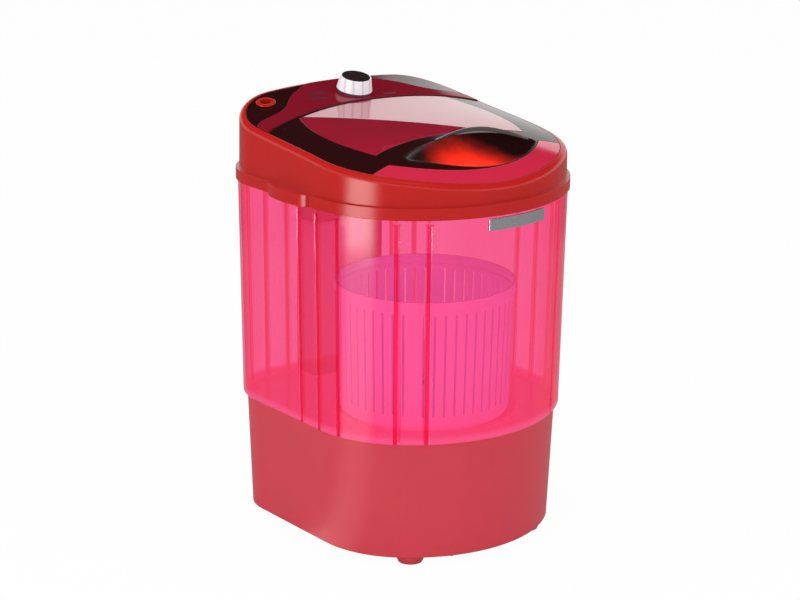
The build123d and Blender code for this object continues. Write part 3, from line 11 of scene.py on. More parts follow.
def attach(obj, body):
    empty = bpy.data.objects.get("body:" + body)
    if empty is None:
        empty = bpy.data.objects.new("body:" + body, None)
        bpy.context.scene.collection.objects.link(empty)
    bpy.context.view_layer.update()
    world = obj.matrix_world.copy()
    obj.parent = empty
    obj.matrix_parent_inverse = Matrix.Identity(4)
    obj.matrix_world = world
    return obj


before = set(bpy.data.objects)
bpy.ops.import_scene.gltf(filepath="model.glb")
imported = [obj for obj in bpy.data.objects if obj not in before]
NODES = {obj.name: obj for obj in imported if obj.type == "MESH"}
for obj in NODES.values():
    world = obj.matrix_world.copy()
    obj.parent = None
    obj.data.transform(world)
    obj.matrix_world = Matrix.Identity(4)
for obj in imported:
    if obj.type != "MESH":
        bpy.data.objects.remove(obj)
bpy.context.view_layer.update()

bl_info = {
    "name": "Compact Washing Machine",
    "version": (1, 0, 0),
    "blender": (4, 5, 0),
    "location": "View3D > Sidebar > Washer",
    "description": "Dresses a compact top-loading washing machine and its studio",
    "category": "Object",
}

MM = 0.001

# All plastics: refraction, what a face of clear plastic mirrors head-on, and the breadth and strength of the
# faint clouds in their colour, roughness and haze
PLASTIC_IOR = 1.45
HEAD_ON_MIRROR = 0.04
MOTTLE_BREADTH = 60 * MM
MOTTLE = 0.04
ROUGHNESS_SPREAD = 0.12
HAZE_BREADTH = 90 * MM
HAZE_SPREAD = 0.15

# All metals: length of a brushed streak, in widths
STREAK_LENGTH = 20

# Tub: height of its floor, and of the band above it where more haze, painted light, brightens the floor
TUB_FLOOR = 0.172
FLOOR_LIGHT_BAND = 8 * MM

# Pressed grooves of the tub: slope up to which a face is upright, width under which it is narrow, reach in
# which another upright face has to be turned from it, and the cosine of that turn
UPRIGHT_SLOPE = 0.3
GROOVE_FACE_WIDTH = 2.5 * MM
GROOVE_REACH = 5 * MM
GROOVE_TURN = 0.86

# Printed bars of the control panel, as plan points in mm: from, to and width
PANEL_BARS = (
    ((-64, 148), (-38, 143), 5.0),
    ((-68, 135), (-48, 128), 5.0),
    ((34, 114.5), (54, 113.5), 5.0),
)
# Steps along a bar, height of the ink over the panel, and a height that is above the whole machine
BAR_STEPS = 8
INK_HEIGHT = 0.06 * MM
ABOVE_ALL = 1.0

# Window: it sags where y + SAG_SLANT * x goes from one value to the other, and its normal leans by so much
SAG_SLANT = 0.87
SAG_FROM, SAG_TO = -11 * MM, -4 * MM
SAG_LEAN_FROM, SAG_LEAN_TO = -0.09, 0.035

# Scoop: middle and radii in plan of the painted glow in its bowl, an orange-red colour and emission, which is
# full up to one share of the radii and gone at the other, the grain and depth of its wavy edge, and its
# strength
PAINTED_GLOW_MIDDLE = (1.52 * MM, -114.8 * MM)
PAINTED_GLOW_RADII = (76 * MM, 56 * MM)
PAINTED_GLOW_FULL, PAINTED_GLOW_GONE = 0.25, 1.1
PAINTED_GLOW_GRAIN = 20 * MM
PAINTED_GLOW_WAVINESS = 0.16
PAINTED_GLOW_STRENGTH = 0.55

# Dial: distance of its shaft behind the middle, ribs round the grip, where on their wave a furrow's painted
# shade is, and the painted glow of the white plastic, an emission though it is no lamp
DIAL_Y = 0.1335
KNOB_RIBS = 12
FURROW_SHADE_FROM, FURROW_SHADE_TO = 0.5, 0.95
KNOB_PAINTED_GLOW = 0.12

# Camera: its place and axes, from the fit of the outline to the photograph
CAMERA_PLACE = (-1.8383, -2.3702, 1.1876)
CAMERA_RIGHT = (0.79547, -0.60593, 0.00927)
CAMERA_AHEAD = (0.58315, 0.76123, -0.28365)

# Lamps: sizes and places, all aimed at the middle of the machine
LAMP_AIM = (0, 0, 0.3)
LAMP_SIZES = {"left": (1.6, 2.2), "right": (1.8, 1.8), "top": (2.2, 2.2)}
LAMP_PLACES = {"left": (-3.0, -0.6, 1.6), "right": (1.4, -3.2, 1.7), "top": (-0.3, 0.2, 3.2)}

# Bright strip of the floor in reflections: direction, half its width, levels in it and beside it, distance at
# which it starts, and its share and level before that
STRIP_WAY = radians(-96)
STRIP_FULL, STRIP_GONE = radians(8), radians(20)
STRIP_LEVEL, FLOOR_LEVEL = 7.5, 0.22
STRIP_START, STRIP_WHOLE = 1.43, 1.62
NEAR_SHARE, NEAR_LEVEL = 0.16, 0.3

# Paper of the floor: breadth of its faint clouds, how pale it is, and how much of it the camera sees as white
PAPER_GRAIN = 0.125
PAPER_DARK, PAPER_LIGHT = 0.84, 0.88
SEEN_WHITE = 0.97

# White wall of the world in reflections: height of its upper edge as a sine, and levels below and above it
WALL_EDGE_FROM, WALL_EDGE_TO = 0.40, 0.47
WALL_LEVEL, ABOVE_WALL_LEVEL = 1.0, 0.015


# Colours and nodes

def linear(code):
    """Linear red, green and blue of an sRGB hex colour."""
    parts = [int(code[place:place + 2], 16) / 255 for place in (1, 3, 5)]
    return tuple(part / 12.92 if part <= 0.04045 else ((part + 0.055) / 1.055) ** 2.4 for part in parts)


def add_node(tree, kind, sockets=None, **settings):
    """Adds a node, with its settings, and with values or links for its sockets, by name or number."""
    node = tree.nodes.new(kind)
    for name, value in settings.items():
        setattr(node, name, value)
    for name, value in (sockets or {}).items():
        if isinstance(value, bpy.types.NodeSocket):
            tree.links.new(value, node.inputs[name])
        else:
            node.inputs[name].default_value = value
    return node


def new_material(name):
    """Empty node material with its output node."""
    material = bpy.data.materials.new(name)
    material.use_nodes = True
    material.node_tree.nodes.clear()
    return material, material.node_tree, material.node_tree.nodes.new("ShaderNodeOutputMaterial")


def fine_surface(tree, place, grain_mm, depth_mm, edge_mm, lean=0.0):
    """Normal of a moulded surface: faint waviness, edges softened by a radius, and a lean to the front."""
    grain = add_node(
        tree, "ShaderNodeTexNoise", {"Vector": place, "Scale": 1 / (grain_mm * MM), "Detail": 2.0}
    )
    soft = add_node(tree, "ShaderNodeBevel", {"Radius": edge_mm * MM}, samples=4)
    bump = add_node(
        tree, "ShaderNodeBump",
        {
            "Height": grain.outputs["Fac"], "Strength": 0.5, "Distance": depth_mm * MM,
            "Normal": soft.outputs["Normal"],
        },
    )
    leaning = add_node(
        tree, "ShaderNodeVectorMath", {0: bump.outputs["Normal"], 1: (0.0, -lean, 0.0)}, operation="ADD"
    )
    normal = add_node(tree, "ShaderNodeVectorMath", {0: leaning.outputs["Vector"]}, operation="NORMALIZE")
    return normal.outputs["Vector"]


# Plastics and metals

def moulded(name, colour, roughness, grain_mm, depth_mm, edge_mm=0.5, coat=0.0, lean=0.0, painted_glow=0.0):
    """Moulded plastic: even colour with a faint mottle, and the fine waviness of the mould.

    coat is the weight of a clear gloss coat, lean tips what it mirrors to the front, and glow is painted
    light: an emission in the plastic's own colour, though the plastic is no lamp.
    """
    material, tree, output = new_material(name)
    place = add_node(tree, "ShaderNodeTexCoord").outputs["Object"]
    cloud = add_node(
        tree, "ShaderNodeTexNoise", {"Vector": place, "Scale": 1 / MOTTLE_BREADTH, "Detail": 3.0}
    )
    dark = tuple(part * (1 - MOTTLE) for part in colour[:3]) + (1,)
    light = tuple(min(1, part * (1 + MOTTLE)) for part in colour[:3]) + (1,)
    tint = add_node(tree, "ShaderNodeMix", {0: cloud.outputs["Fac"], 6: dark, 7: light}, data_type="RGBA")
    rough = add_node(
        tree, "ShaderNodeMapRange",
        {
            "Value": cloud.outputs["Fac"], "To Min": roughness * (1 - ROUGHNESS_SPREAD),
            "To Max": roughness * (1 + ROUGHNESS_SPREAD),
        },
    )
    shader = add_node(
        tree, "ShaderNodeBsdfPrincipled",
        {
            "Base Color": tint.outputs[2], "Roughness": rough.outputs["Result"], "IOR": PLASTIC_IOR,
            "Coat Weight": coat, "Coat Roughness": 0.05,
            "Normal": fine_surface(tree, place, grain_mm, depth_mm, edge_mm, lean),
            "Emission Color": tint.outputs[2], "Emission Strength": painted_glow,
        },
    )
    tree.links.new(shader.outputs["BSDF"], output.inputs["Surface"])
    return material


def metal(name, colour, roughness, brush_mm, edge_mm=0.3):
    """Bare or plated metal, brushed along X with streaks of a given width."""
    material, tree, output = new_material(name)
    place = add_node(tree, "ShaderNodeTexCoord").outputs["Object"]
    across = 1 / (brush_mm * MM)
    stretch = add_node(
        tree, "ShaderNodeMapping", {"Vector": place, "Scale": (across / STREAK_LENGTH, across, across)}
    )
    streak = add_node(
        tree, "ShaderNodeTexNoise", {"Vector": stretch.outputs["Vector"], "Scale": 1.0, "Detail": 2.0}
    )
    rough = add_node(
        tree, "ShaderNodeMapRange",
        {"Value": streak.outputs["Fac"], "To Min": roughness * 0.8, "To Max": roughness * 1.25},
    )
    shader = add_node(
        tree, "ShaderNodeBsdfPrincipled",
        {
            "Base Color": (*colour[:3], 1), "Metallic": 1.0, "Roughness": rough.outputs["Result"],
            "Normal": fine_surface(tree, place, grain_mm=2 * brush_mm, depth_mm=0.01, edge_mm=edge_mm),
        },
    )
    tree.links.new(shader.outputs["BSDF"], output.inputs["Surface"])
    return material


def tinted_through(tree, facing, tint, deepen):
    """Light that crosses the plastic with its tint, to the power deepen where the wall is edge-on."""
    edge_on = add_node(tree, "ShaderNodeMath", {0: facing, 1: 3.0}, operation="POWER")
    deep = tuple(part ** deepen for part in tint[:3]) + (1,)
    colour = add_node(
        tree, "ShaderNodeMix", {0: edge_on.outputs["Value"], 6: (*tint[:3], 1), 7: deep}, data_type="RGBA"
    )
    return add_node(tree, "ShaderNodeBsdfTransparent", {"Color": colour.outputs[2]}).outputs["BSDF"]


def milky_body(tree, body, painted_glow):
    """Light that the plastic scatters to both sides, mixed by glow with painted light: an emission in the
    body colour that stands in for light passing through.
    """
    front = add_node(tree, "ShaderNodeBsdfDiffuse", {"Color": (*body[:3], 1)})
    back = add_node(tree, "ShaderNodeBsdfTranslucent", {"Color": (*body[:3], 1)})
    lit = add_node(
        tree, "ShaderNodeMixShader", {"Fac": 0.5, 1: front.outputs["BSDF"], 2: back.outputs["BSDF"]}
    )
    painted_haze_light = add_node(tree, "ShaderNodeEmission", {"Color": (*body[:3], 1), "Strength": 1.0})
    milk = add_node(
        tree, "ShaderNodeMixShader", {"Fac": painted_glow, 1: lit.outputs["Shader"], 2: painted_haze_light.outputs["Emission"]}
    )
    return milk.outputs["Shader"]


def haze_share(tree, place, haze, floor):
    """Share of the light that the plastic scatters: a faintly uneven haze, with more haze, painted light that
    brightens the dark floor, in a band just above the tub's floor.
    """
    cloud = add_node(tree, "ShaderNodeTexNoise", {"Vector": place, "Scale": 1 / HAZE_BREADTH, "Detail": 2.0})
    here = add_node(
        tree, "ShaderNodeMapRange",
        {
            "Value": cloud.outputs["Fac"], "To Min": haze * (1 - HAZE_SPREAD),
            "To Max": haze * (1 + HAZE_SPREAD),
        },
    )
    height = add_node(tree, "ShaderNodeSeparateXYZ", {"Vector": place}).outputs["Z"]
    low = add_node(
        tree, "ShaderNodeMapRange",
        {
            "Value": height, "From Min": TUB_FLOOR, "From Max": TUB_FLOOR + FLOOR_LIGHT_BAND,
            "To Min": floor, "To Max": 0.0,
        },
    )
    amount = add_node(
        tree, "ShaderNodeMath", {0: here.outputs["Result"], 1: low.outputs["Result"]}, operation="ADD"
    )
    return amount.outputs["Value"]


def mirror_share(tree, facing, steepness, mirror):
    """Mirror share by angle, only where light meets the plastic from the air outside it."""
    steep = add_node(tree, "ShaderNodeMath", {0: facing, 1: steepness}, operation="POWER")
    share = add_node(
        tree, "ShaderNodeMath", {0: steep.outputs["Value"], 1: 1 - HEAD_ON_MIRROR, 2: HEAD_ON_MIRROR},
        operation="MULTIPLY_ADD",
    )
    inside = add_node(tree, "ShaderNodeNewGeometry").outputs["Backfacing"]
    outside = add_node(tree, "ShaderNodeMath", {0: 1.0, 1: inside}, operation="SUBTRACT")
    strength = add_node(
        tree, "ShaderNodeMath", {0: outside.outputs["Value"], 1: mirror}, operation="MULTIPLY"
    )
    mirrored = add_node(
        tree, "ShaderNodeMath", {0: share.outputs["Value"], 1: strength.outputs["Value"]},
        operation="MULTIPLY",
    )
    return mirrored.outputs["Value"]


def sagging_sheet(tree, place, normal):
    """Normal of a sheet that is flat across and sags along a slanted line, as its reflection shows."""
    spot = add_node(tree, "ShaderNodeSeparateXYZ", {"Vector": place})
    beyond = add_node(
        tree, "ShaderNodeMath", {0: spot.outputs["X"], 1: SAG_SLANT, 2: spot.outputs["Y"]},
        operation="MULTIPLY_ADD",
    )
    sag = add_node(
        tree, "ShaderNodeMapRange",
        {
            "Value": beyond.outputs["Value"], "From Min": SAG_FROM, "From Max": SAG_TO,
            "To Min": SAG_LEAN_FROM, "To Max": SAG_LEAN_TO,
        },
        interpolation_type="SMOOTHSTEP",
    )
    flat = add_node(tree, "ShaderNodeVectorMath", {0: normal, 1: (0.0, 1.0, 1.0)}, operation="MULTIPLY")
    shift = add_node(tree, "ShaderNodeCombineXYZ", {"Y": sag.outputs["Result"]})
    bent = add_node(
        tree, "ShaderNodeVectorMath", {0: flat.outputs["Vector"], 1: shift.outputs["Vector"]}, operation="ADD"
    )
    even = add_node(tree, "ShaderNodeVectorMath", {0: bent.outputs["Vector"]}, operation="NORMALIZE")
    return even.outputs["Vector"]


def clear_plastic(name, tint, body, haze, roughness, deepen=2.0, steepness=5.0, painted_glow=0.0, floor=0.0,
                  mirror=1.0, sheet=False):
    """See-through coloured plastic: light takes its tint at each face, deeper where the wall is edge-on.

    tint is what one face leaves of light that crosses it, and deepen the power that it takes edge-on. body is
    the colour of the haze, floor adds haze, painted light that brightens the dark tub floor, in a band above
    it, and glow is the share of the haze that is painted light, an emission though the plastic is no lamp.
    The mirror share rises toward a grazing view with the power steepness, and is multiplied by mirror. A
    sheet sags as the window does.
    """
    material, tree, output = new_material(name)
    place = add_node(tree, "ShaderNodeTexCoord").outputs["Object"]
    facing = add_node(tree, "ShaderNodeLayerWeight", {"Blend": 0.5}).outputs["Facing"]
    mixed = add_node(
        tree, "ShaderNodeMixShader",
        {
            "Fac": haze_share(tree, place, haze, floor), 1: tinted_through(tree, facing, tint, deepen),
            2: milky_body(tree, body, painted_glow),
        },
    )
    normal = fine_surface(tree, place, grain_mm=12.0, depth_mm=0.02, edge_mm=0.6)
    if sheet:
        normal = sagging_sheet(tree, place, normal)
    gloss = add_node(
        tree, "ShaderNodeBsdfGlossy", {"Color": (1, 1, 1, 1), "Roughness": roughness, "Normal": normal}
    )
    both = add_node(
        tree, "ShaderNodeMixShader",
        {
            "Fac": mirror_share(tree, facing, steepness, mirror), 1: mixed.outputs["Shader"],
            2: gloss.outputs["BSDF"],
        },
    )
    tree.links.new(both.outputs["Shader"], output.inputs["Surface"])
    return material


# Pieces

def dress(material, *names):
    """Puts one material on CAD nodes or pieces."""
    for name in names:
        thing = NODES[name] if isinstance(name, str) else name
        thing.data.materials.clear()
        thing.data.materials.append(material)


def place_mesh(mesh, name, body=None, material=None):
    """Turns a bmesh into a smooth object at the origin, and lets it ride on a body."""
    data = bpy.data.meshes.new(name)
    mesh.to_mesh(data)
    mesh.free()
    for polygon in data.polygons:
        polygon.use_smooth = True
    thing = bpy.data.objects.new(name, data)
    bpy.context.scene.collection.objects.link(thing)
    if material is not None:
        data.materials.append(material)
    if body is not None:
        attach(thing, body)
    return thing


def printed(name, node, body, ink, bars):
    """Thin printed bars that follow the surface of a node from above."""
    cad = NODES[node].data
    surface = BVHTree.FromPolygons(
        [corner.co for corner in cad.vertices], [face.vertices for face in cad.polygons]
    )
    mesh = bmesh.new()
    for start, end, width in bars:
        start = Vector(start) * MM
        end = Vector(end) * MM
        side = Vector((start.y - end.y, end.x - start.x)).normalized() * width * MM / 2
        bar = bmesh.ops.create_grid(mesh, x_segments=BAR_STEPS, y_segments=2, size=0.5)
        for corner in bar["verts"]:
            spot = start.lerp(end, corner.co.x + 0.5) + side * (2 * corner.co.y)
            hit = surface.ray_cast((spot.x, spot.y, ABOVE_ALL), (0, 0, -1))[0]
            corner.co = (spot.x, spot.y, hit.z + INK_HEIGHT)
    return place_mesh(mesh, name, body, ink)


# Sizes and colours

class WasherColours(bpy.types.PropertyGroup):
    base_red: FloatVectorProperty(
        name="Base red", description="Colour of the base housing and the feet", subtype="COLOR",
        default=linear("#CE3A48"), min=0, max=1,
    )
    frame_red: FloatVectorProperty(
        name="Frame red", description="Colour of the frame round the top", subtype="COLOR",
        default=linear("#BA1C18"), min=0, max=1,
    )
    tub_tint: FloatVectorProperty(
        name="Tub tint", description="What the tub wall leaves of light that crosses one face",
        subtype="COLOR", default=(1.0, 0.62, 0.77), min=0, max=1,
    )
    tub_body: FloatVectorProperty(
        name="Tub body", description="Colour of the tub's own plastic", subtype="COLOR",
        default=linear("#FF5C92"), min=0, max=1,
    )
    basket_pink: FloatVectorProperty(
        name="Basket pink", description="Colour of the basket and the pulsator", subtype="COLOR",
        default=linear("#FFC8FF"), min=0, max=1,
    )
    panel_crimson: FloatVectorProperty(
        name="Panel crimson", description="Colour of the control panel", subtype="COLOR",
        default=linear("#7E1224"), min=0, max=1,
    )
    trim_crimson: FloatVectorProperty(
        name="Trim crimson", description="Colour of the front trim", subtype="COLOR",
        default=linear("#D02846"), min=0, max=1,
    )
    smoke: FloatVectorProperty(
        name="Smoke", description="Colour of the smoked lid frame and the rear trims", subtype="COLOR",
        default=linear("#2A0A0B"), min=0, max=1,
    )
    window_tint: FloatVectorProperty(
        name="Window tint", description="What the window leaves of light that crosses one face",
        subtype="COLOR", default=(0.98, 0.42, 0.55), min=0, max=1,
    )
    knob_white: FloatVectorProperty(
        name="Knob white", description="Colour of the timer knob", subtype="COLOR",
        default=linear("#F2F2F6"), min=0, max=1,
    )


class WasherStudio(bpy.types.PropertyGroup):
    lens: FloatProperty(name="Lens", description="Camera focal length", default=108.0, unit="CAMERA")
    floor_size: FloatProperty(name="Floor", description="Side of the floor", default=60.0, unit="LENGTH")
    key_power: FloatProperty(
        name="Key", description="Power of the soft lamp on the left", default=44.0, unit="POWER"
    )
    fill_power: FloatProperty(
        name="Fill", description="Power of the soft lamp on the right", default=40.0, unit="POWER"
    )
    top_power: FloatProperty(
        name="Top", description="Power of the soft lamp overhead", default=30.0, unit="POWER"
    )
    sky_level: FloatProperty(name="Sky", description="Level of the even light from all round", default=0.5)


# Operators

class WASHER_OT_stage(bpy.types.Operator):
    """Sets up the camera, the pale floor, the soft lamps and the white background"""

    bl_idname = "washer.stage"
    bl_label = "Studio"

    def execute(self, context):
        studio = context.scene.washer_studio
        scene = context.scene
        scene.view_settings.view_transform = "Standard"
        scene.cycles.transparent_max_bounces = 24
        self.camera(scene, studio.lens)
        mesh = bmesh.new()
        bmesh.ops.create_grid(mesh, x_segments=1, y_segments=1, size=studio.floor_size / 2)
        floor = place_mesh(mesh, "studio_floor")
        dress(self.floor_material(), floor)
        powers = {"left": studio.key_power, "right": studio.fill_power, "top": studio.top_power}
        for side, power in powers.items():
            self.lamp(scene, "lamp_" + side, power, LAMP_SIZES[side], LAMP_PLACES[side])
        self.world(scene, studio.sky_level)
        return {"FINISHED"}

    def camera(self, scene, focal_length):
        """Puts the camera where the photograph was taken from."""
        lens = bpy.data.cameras.new("studio_camera")
        lens.lens = focal_length
        lens.sensor_width = 36
        lens.clip_end = 100
        camera = bpy.data.objects.new("studio_camera", lens)
        scene.collection.objects.link(camera)
        right, ahead = Vector(CAMERA_RIGHT), Vector(CAMERA_AHEAD)
        turn = Matrix((right, right.cross(ahead), -ahead)).transposed().to_4x4()
        camera.matrix_world = Matrix.Translation(CAMERA_PLACE) @ turn
        scene.camera = camera

    def lamp(self, scene, name, power, size, spot):
        """Adds a soft lamp that doesn't show in reflections."""
        lamp = bpy.data.lights.new(name, "AREA")
        lamp.shape = "RECTANGLE"
        lamp.size, lamp.size_y = size
        lamp.energy = power
        holder = bpy.data.objects.new(name, lamp)
        holder.location = spot
        holder.rotation_euler = (Vector(LAMP_AIM) - Vector(spot)).to_track_quat("-Z", "Y").to_euler()
        holder.visible_glossy = False
        scene.collection.objects.link(holder)

    def strip_level(self, tree, place):
        """Level of the floor in reflections: a bright strip left of the object, a little to the front."""
        split = add_node(tree, "ShaderNodeSeparateXYZ", {"Vector": place})
        turn = add_node(
            tree, "ShaderNodeMath", {0: split.outputs["X"], 1: split.outputs["Y"]}, operation="ARCTAN2"
        )
        offset = add_node(
            tree, "ShaderNodeMath", {0: turn.outputs["Value"], 1: STRIP_WAY}, operation="SUBTRACT"
        )
        away = add_node(tree, "ShaderNodeMath", {0: offset.outputs["Value"]}, operation="ABSOLUTE")
        strip = add_node(
            tree, "ShaderNodeMapRange",
            {
                "Value": away.outputs["Value"], "From Min": STRIP_FULL, "From Max": STRIP_GONE,
                "To Min": STRIP_LEVEL, "To Max": FLOOR_LEVEL,
            },
            interpolation_type="SMOOTHSTEP",
        )
        # It starts at a distance, so only what lies high on the object mirrors it
        reach = add_node(tree, "ShaderNodeVectorMath", {0: place}, operation="LENGTH")
        far = add_node(
            tree, "ShaderNodeMapRange",
            {"Value": reach.outputs["Value"], "From Min": STRIP_START, "From Max": STRIP_WHOLE},
            interpolation_type="SMOOTHSTEP",
        )
        weak = add_node(
            tree, "ShaderNodeMath", {0: strip.outputs["Result"], 1: NEAR_SHARE, 2: NEAR_LEVEL},
            operation="MULTIPLY_ADD",
        )
        level = add_node(
            tree, "ShaderNodeMix",
            {0: far.outputs["Result"], 2: weak.outputs["Value"], 3: strip.outputs["Result"]},
            data_type="FLOAT",
        )
        return level.outputs[0]

    def floor_material(self):
        """White sweep: white to the camera, with a soft shadow; pale with one bright strip in reflections."""
        material, tree, output = new_material("white_paper_sweep")
        path = add_node(tree, "ShaderNodeLightPath")
        place = add_node(tree, "ShaderNodeTexCoord").outputs["Object"]
        grain = add_node(tree, "ShaderNodeTexNoise", {"Vector": place, "Scale": 1 / PAPER_GRAIN})
        paper = add_node(
            tree, "ShaderNodeMapRange",
            {"Value": grain.outputs["Fac"], "To Min": PAPER_DARK, "To Max": PAPER_LIGHT},
        )
        matte = add_node(tree, "ShaderNodeBsdfDiffuse", {"Color": paper.outputs["Result"]})
        bright = add_node(tree, "ShaderNodeEmission", {"Color": (1, 1, 1, 1), "Strength": 1.0})
        shown = add_node(
            tree, "ShaderNodeEmission", {"Color": (1, 1, 1, 1), "Strength": self.strip_level(tree, place)}
        )
        seen = add_node(
            tree, "ShaderNodeMath", {0: path.outputs["Is Camera Ray"], 1: SEEN_WHITE}, operation="MULTIPLY"
        )
        first = add_node(
            tree, "ShaderNodeMixShader",
            {"Fac": seen.outputs["Value"], 1: matte.outputs["BSDF"], 2: bright.outputs["Emission"]},
        )
        second = add_node(
            tree, "ShaderNodeMixShader",
            {"Fac": path.outputs["Is Glossy Ray"], 1: first.outputs["Shader"], 2: shown.outputs["Emission"]},
        )
        tree.links.new(second.outputs["Shader"], output.inputs["Surface"])
        return material

    def world(self, scene, level):
        """White to the camera and through glass, a low white wall in reflections, even light elsewhere."""
        world = bpy.data.worlds.new("studio")
        world.use_nodes = True
        tree = world.node_tree
        tree.nodes.clear()
        output = tree.nodes.new("ShaderNodeOutputWorld")
        path = add_node(tree, "ShaderNodeLightPath")
        way = add_node(tree, "ShaderNodeTexCoord").outputs["Generated"]
        split = add_node(tree, "ShaderNodeSeparateXYZ", {"Vector": way})
        wall = add_node(
            tree, "ShaderNodeMapRange",
            {
                "Value": split.outputs["Z"], "From Min": WALL_EDGE_FROM, "From Max": WALL_EDGE_TO,
                "To Min": WALL_LEVEL, "To Max": ABOVE_WALL_LEVEL,
            },
            interpolation_type="SMOOTHSTEP",
        )
        plain = add_node(
            tree, "ShaderNodeMath",
            {0: path.outputs["Is Camera Ray"], 1: path.outputs["Is Transmission Ray"]}, operation="MAXIMUM",
        )
        even = add_node(
            tree, "ShaderNodeMix", {0: path.outputs["Is Glossy Ray"], 2: level, 3: wall.outputs["Result"]},
            data_type="FLOAT",
        )
        strength = add_node(
            tree, "ShaderNodeMix", {0: plain.outputs["Value"], 2: even.outputs[0], 3: 1.0}, data_type="FLOAT"
        )
        light = add_node(
            tree, "ShaderNodeBackground", {"Color": (1, 1, 1, 1), "Strength": strength.outputs[0]}
        )
        tree.links.new(light.outputs["Background"], output.inputs["Surface"])
        scene.world = world


class WASHER_OT_base(bpy.types.Operator):
    """Gives the base housing, its plate and the feet their moulded red plastic"""

    bl_idname = "washer.base"
    bl_label = "Base and feet"

    def execute(self, context):
        colours = context.scene.washer_colours
        # Moulded ABS with a low sheen: a soft, broad highlight
        red = moulded("satin_red_abs", colours.base_red, 0.34, grain_mm=1.6, depth_mm=0.02, edge_mm=1.2)
        dress(
            red, "base_housing", "base_plate", "foot_front_left", "foot_front_right", "foot_rear_left",
            "foot_rear_right",
        )
        return {"FINISHED"}


class WASHER_OT_tub(bpy.types.Operator):
    """Gives the tub, the wire duct and the timer box their see-through pink plastic"""

    bl_idname = "washer.tub"
    bl_label = "Tub"

    def execute(self, context):
        colours = context.scene.washer_colours
        # Clear styrene plastic, tinted pink: bright where the light comes through and from a painted glow in
        # its haze, deep at its edges, with more painted light just above its floor
        pink = clear_plastic(
            "clear_pink_styrene", colours.tub_tint, colours.tub_body, haze=0.10, roughness=0.08, deepen=5.0,
            painted_glow=0.75, floor=0.6,
        )
        dress(pink, "wash_tub")
        # The same styrene where it is folded into grooves: painted shade, darker stripes without a mirror of
        # their own
        deep = clear_plastic(
            "pink_styrene_painted_groove_shade", (0.98, 0.36, 0.52), linear("#F01E5C"), haze=0.2, roughness=0.3, deepen=3.0,
            painted_glow=0.6, mirror=0.0,
        )
        self.shade_grooves(NODES["wash_tub"], deep)
        # Thin clear styrene behind the tub: a paler, milky rose
        rose = clear_plastic(
            "clear_rose_styrene", (0.97, 0.66, 0.78), linear("#E8588C"), haze=0.2, roughness=0.15
        )
        dress(rose, "wire_duct", "timer_box")
        return {"FINISHED"}

    def shade_grooves(self, thing, material):
        """Gives the pressed grooves, where narrow upright faces turn, a second, deeper material: painted
        shade.
        """
        thing.data.materials.append(material)
        upright = [
            face for face in thing.data.polygons
            if abs(face.normal.z) < UPRIGHT_SLOPE and face.center.z > TUB_FLOOR
        ]
        near = KDTree(len(upright))
        for number, face in enumerate(upright):
            near.insert((face.center.x, face.center.y, 0), number)
        near.balance()
        for face in upright:
            along = Vector((-face.normal.y, face.normal.x, 0)).normalized()
            spots = [along.dot(thing.data.vertices[corner].co) for corner in face.vertices]
            found = near.find_range((face.center.x, face.center.y, 0), GROOVE_REACH)
            turn = min(abs(face.normal.dot(upright[number].normal)) for _, number, _ in found)
            if turn < GROOVE_TURN and max(spots) - min(spots) < GROOVE_FACE_WIDTH:
                face.material_index = 1


class WASHER_OT_top(bpy.types.Operator):
    """Gives the frame, control panel, trims, water inlet and badge plate their finishes"""

    bl_idname = "washer.top"
    bl_label = "Top"

    def execute(self, context):
        colours = context.scene.washer_colours
        # Polished ABS: the same red, deeper, with a clear highlight
        red = moulded("polished_red_abs", colours.frame_red, 0.2, grain_mm=3.0, depth_mm=0.01, edge_mm=1.0)
        dress(red, "top_frame", "inlet_port")
        # Acrylic over a dark red back: it mirrors the room almost sharply
        crimson = moulded(
            "glossy_crimson_acrylic", colours.panel_crimson, 0.1, grain_mm=6.0, depth_mm=0.005, lean=0.2
        )
        dress(crimson, "control_panel")
        # Acrylic with a lacquered face: brighter, with a second, sharper highlight
        pink = moulded(
            "glossy_pink_acrylic", colours.trim_crimson, 0.1, grain_mm=6.0, depth_mm=0.005, coat=0.5
        )
        dress(pink, "front_trim")
        # Smoked acrylic: almost black, so that mostly its reflections show
        smoke = moulded("smoked_acrylic", colours.smoke, 0.08, grain_mm=8.0, depth_mm=0.003)
        dress(smoke, "rear_trim_left", "rear_trim_right", "lid_frame")
        # Brushed aluminium foil: pale, with a soft streaked sheen
        silver = metal("brushed_aluminium_foil", linear("#E6E6EA"), 0.28, brush_mm=0.3)
        dress(silver, "badge_plate")
        # Satin plating on plastic: a dull grey band with softly rounded edges
        pewter = metal("satin_pewter_plating", linear("#8E9490"), 0.3, brush_mm=0.4, edge_mm=1.2)
        dress(pewter, "lid_handle")
        # Printed marks: ink in a dark shade of the plastic under it
        ink = moulded("dark_printing_ink", linear("#2E0A10"), 0.5, grain_mm=1.0, depth_mm=0.002)
        printed("panel_marks", "control_panel", "machine", ink, PANEL_BARS)
        return {"FINISHED"}


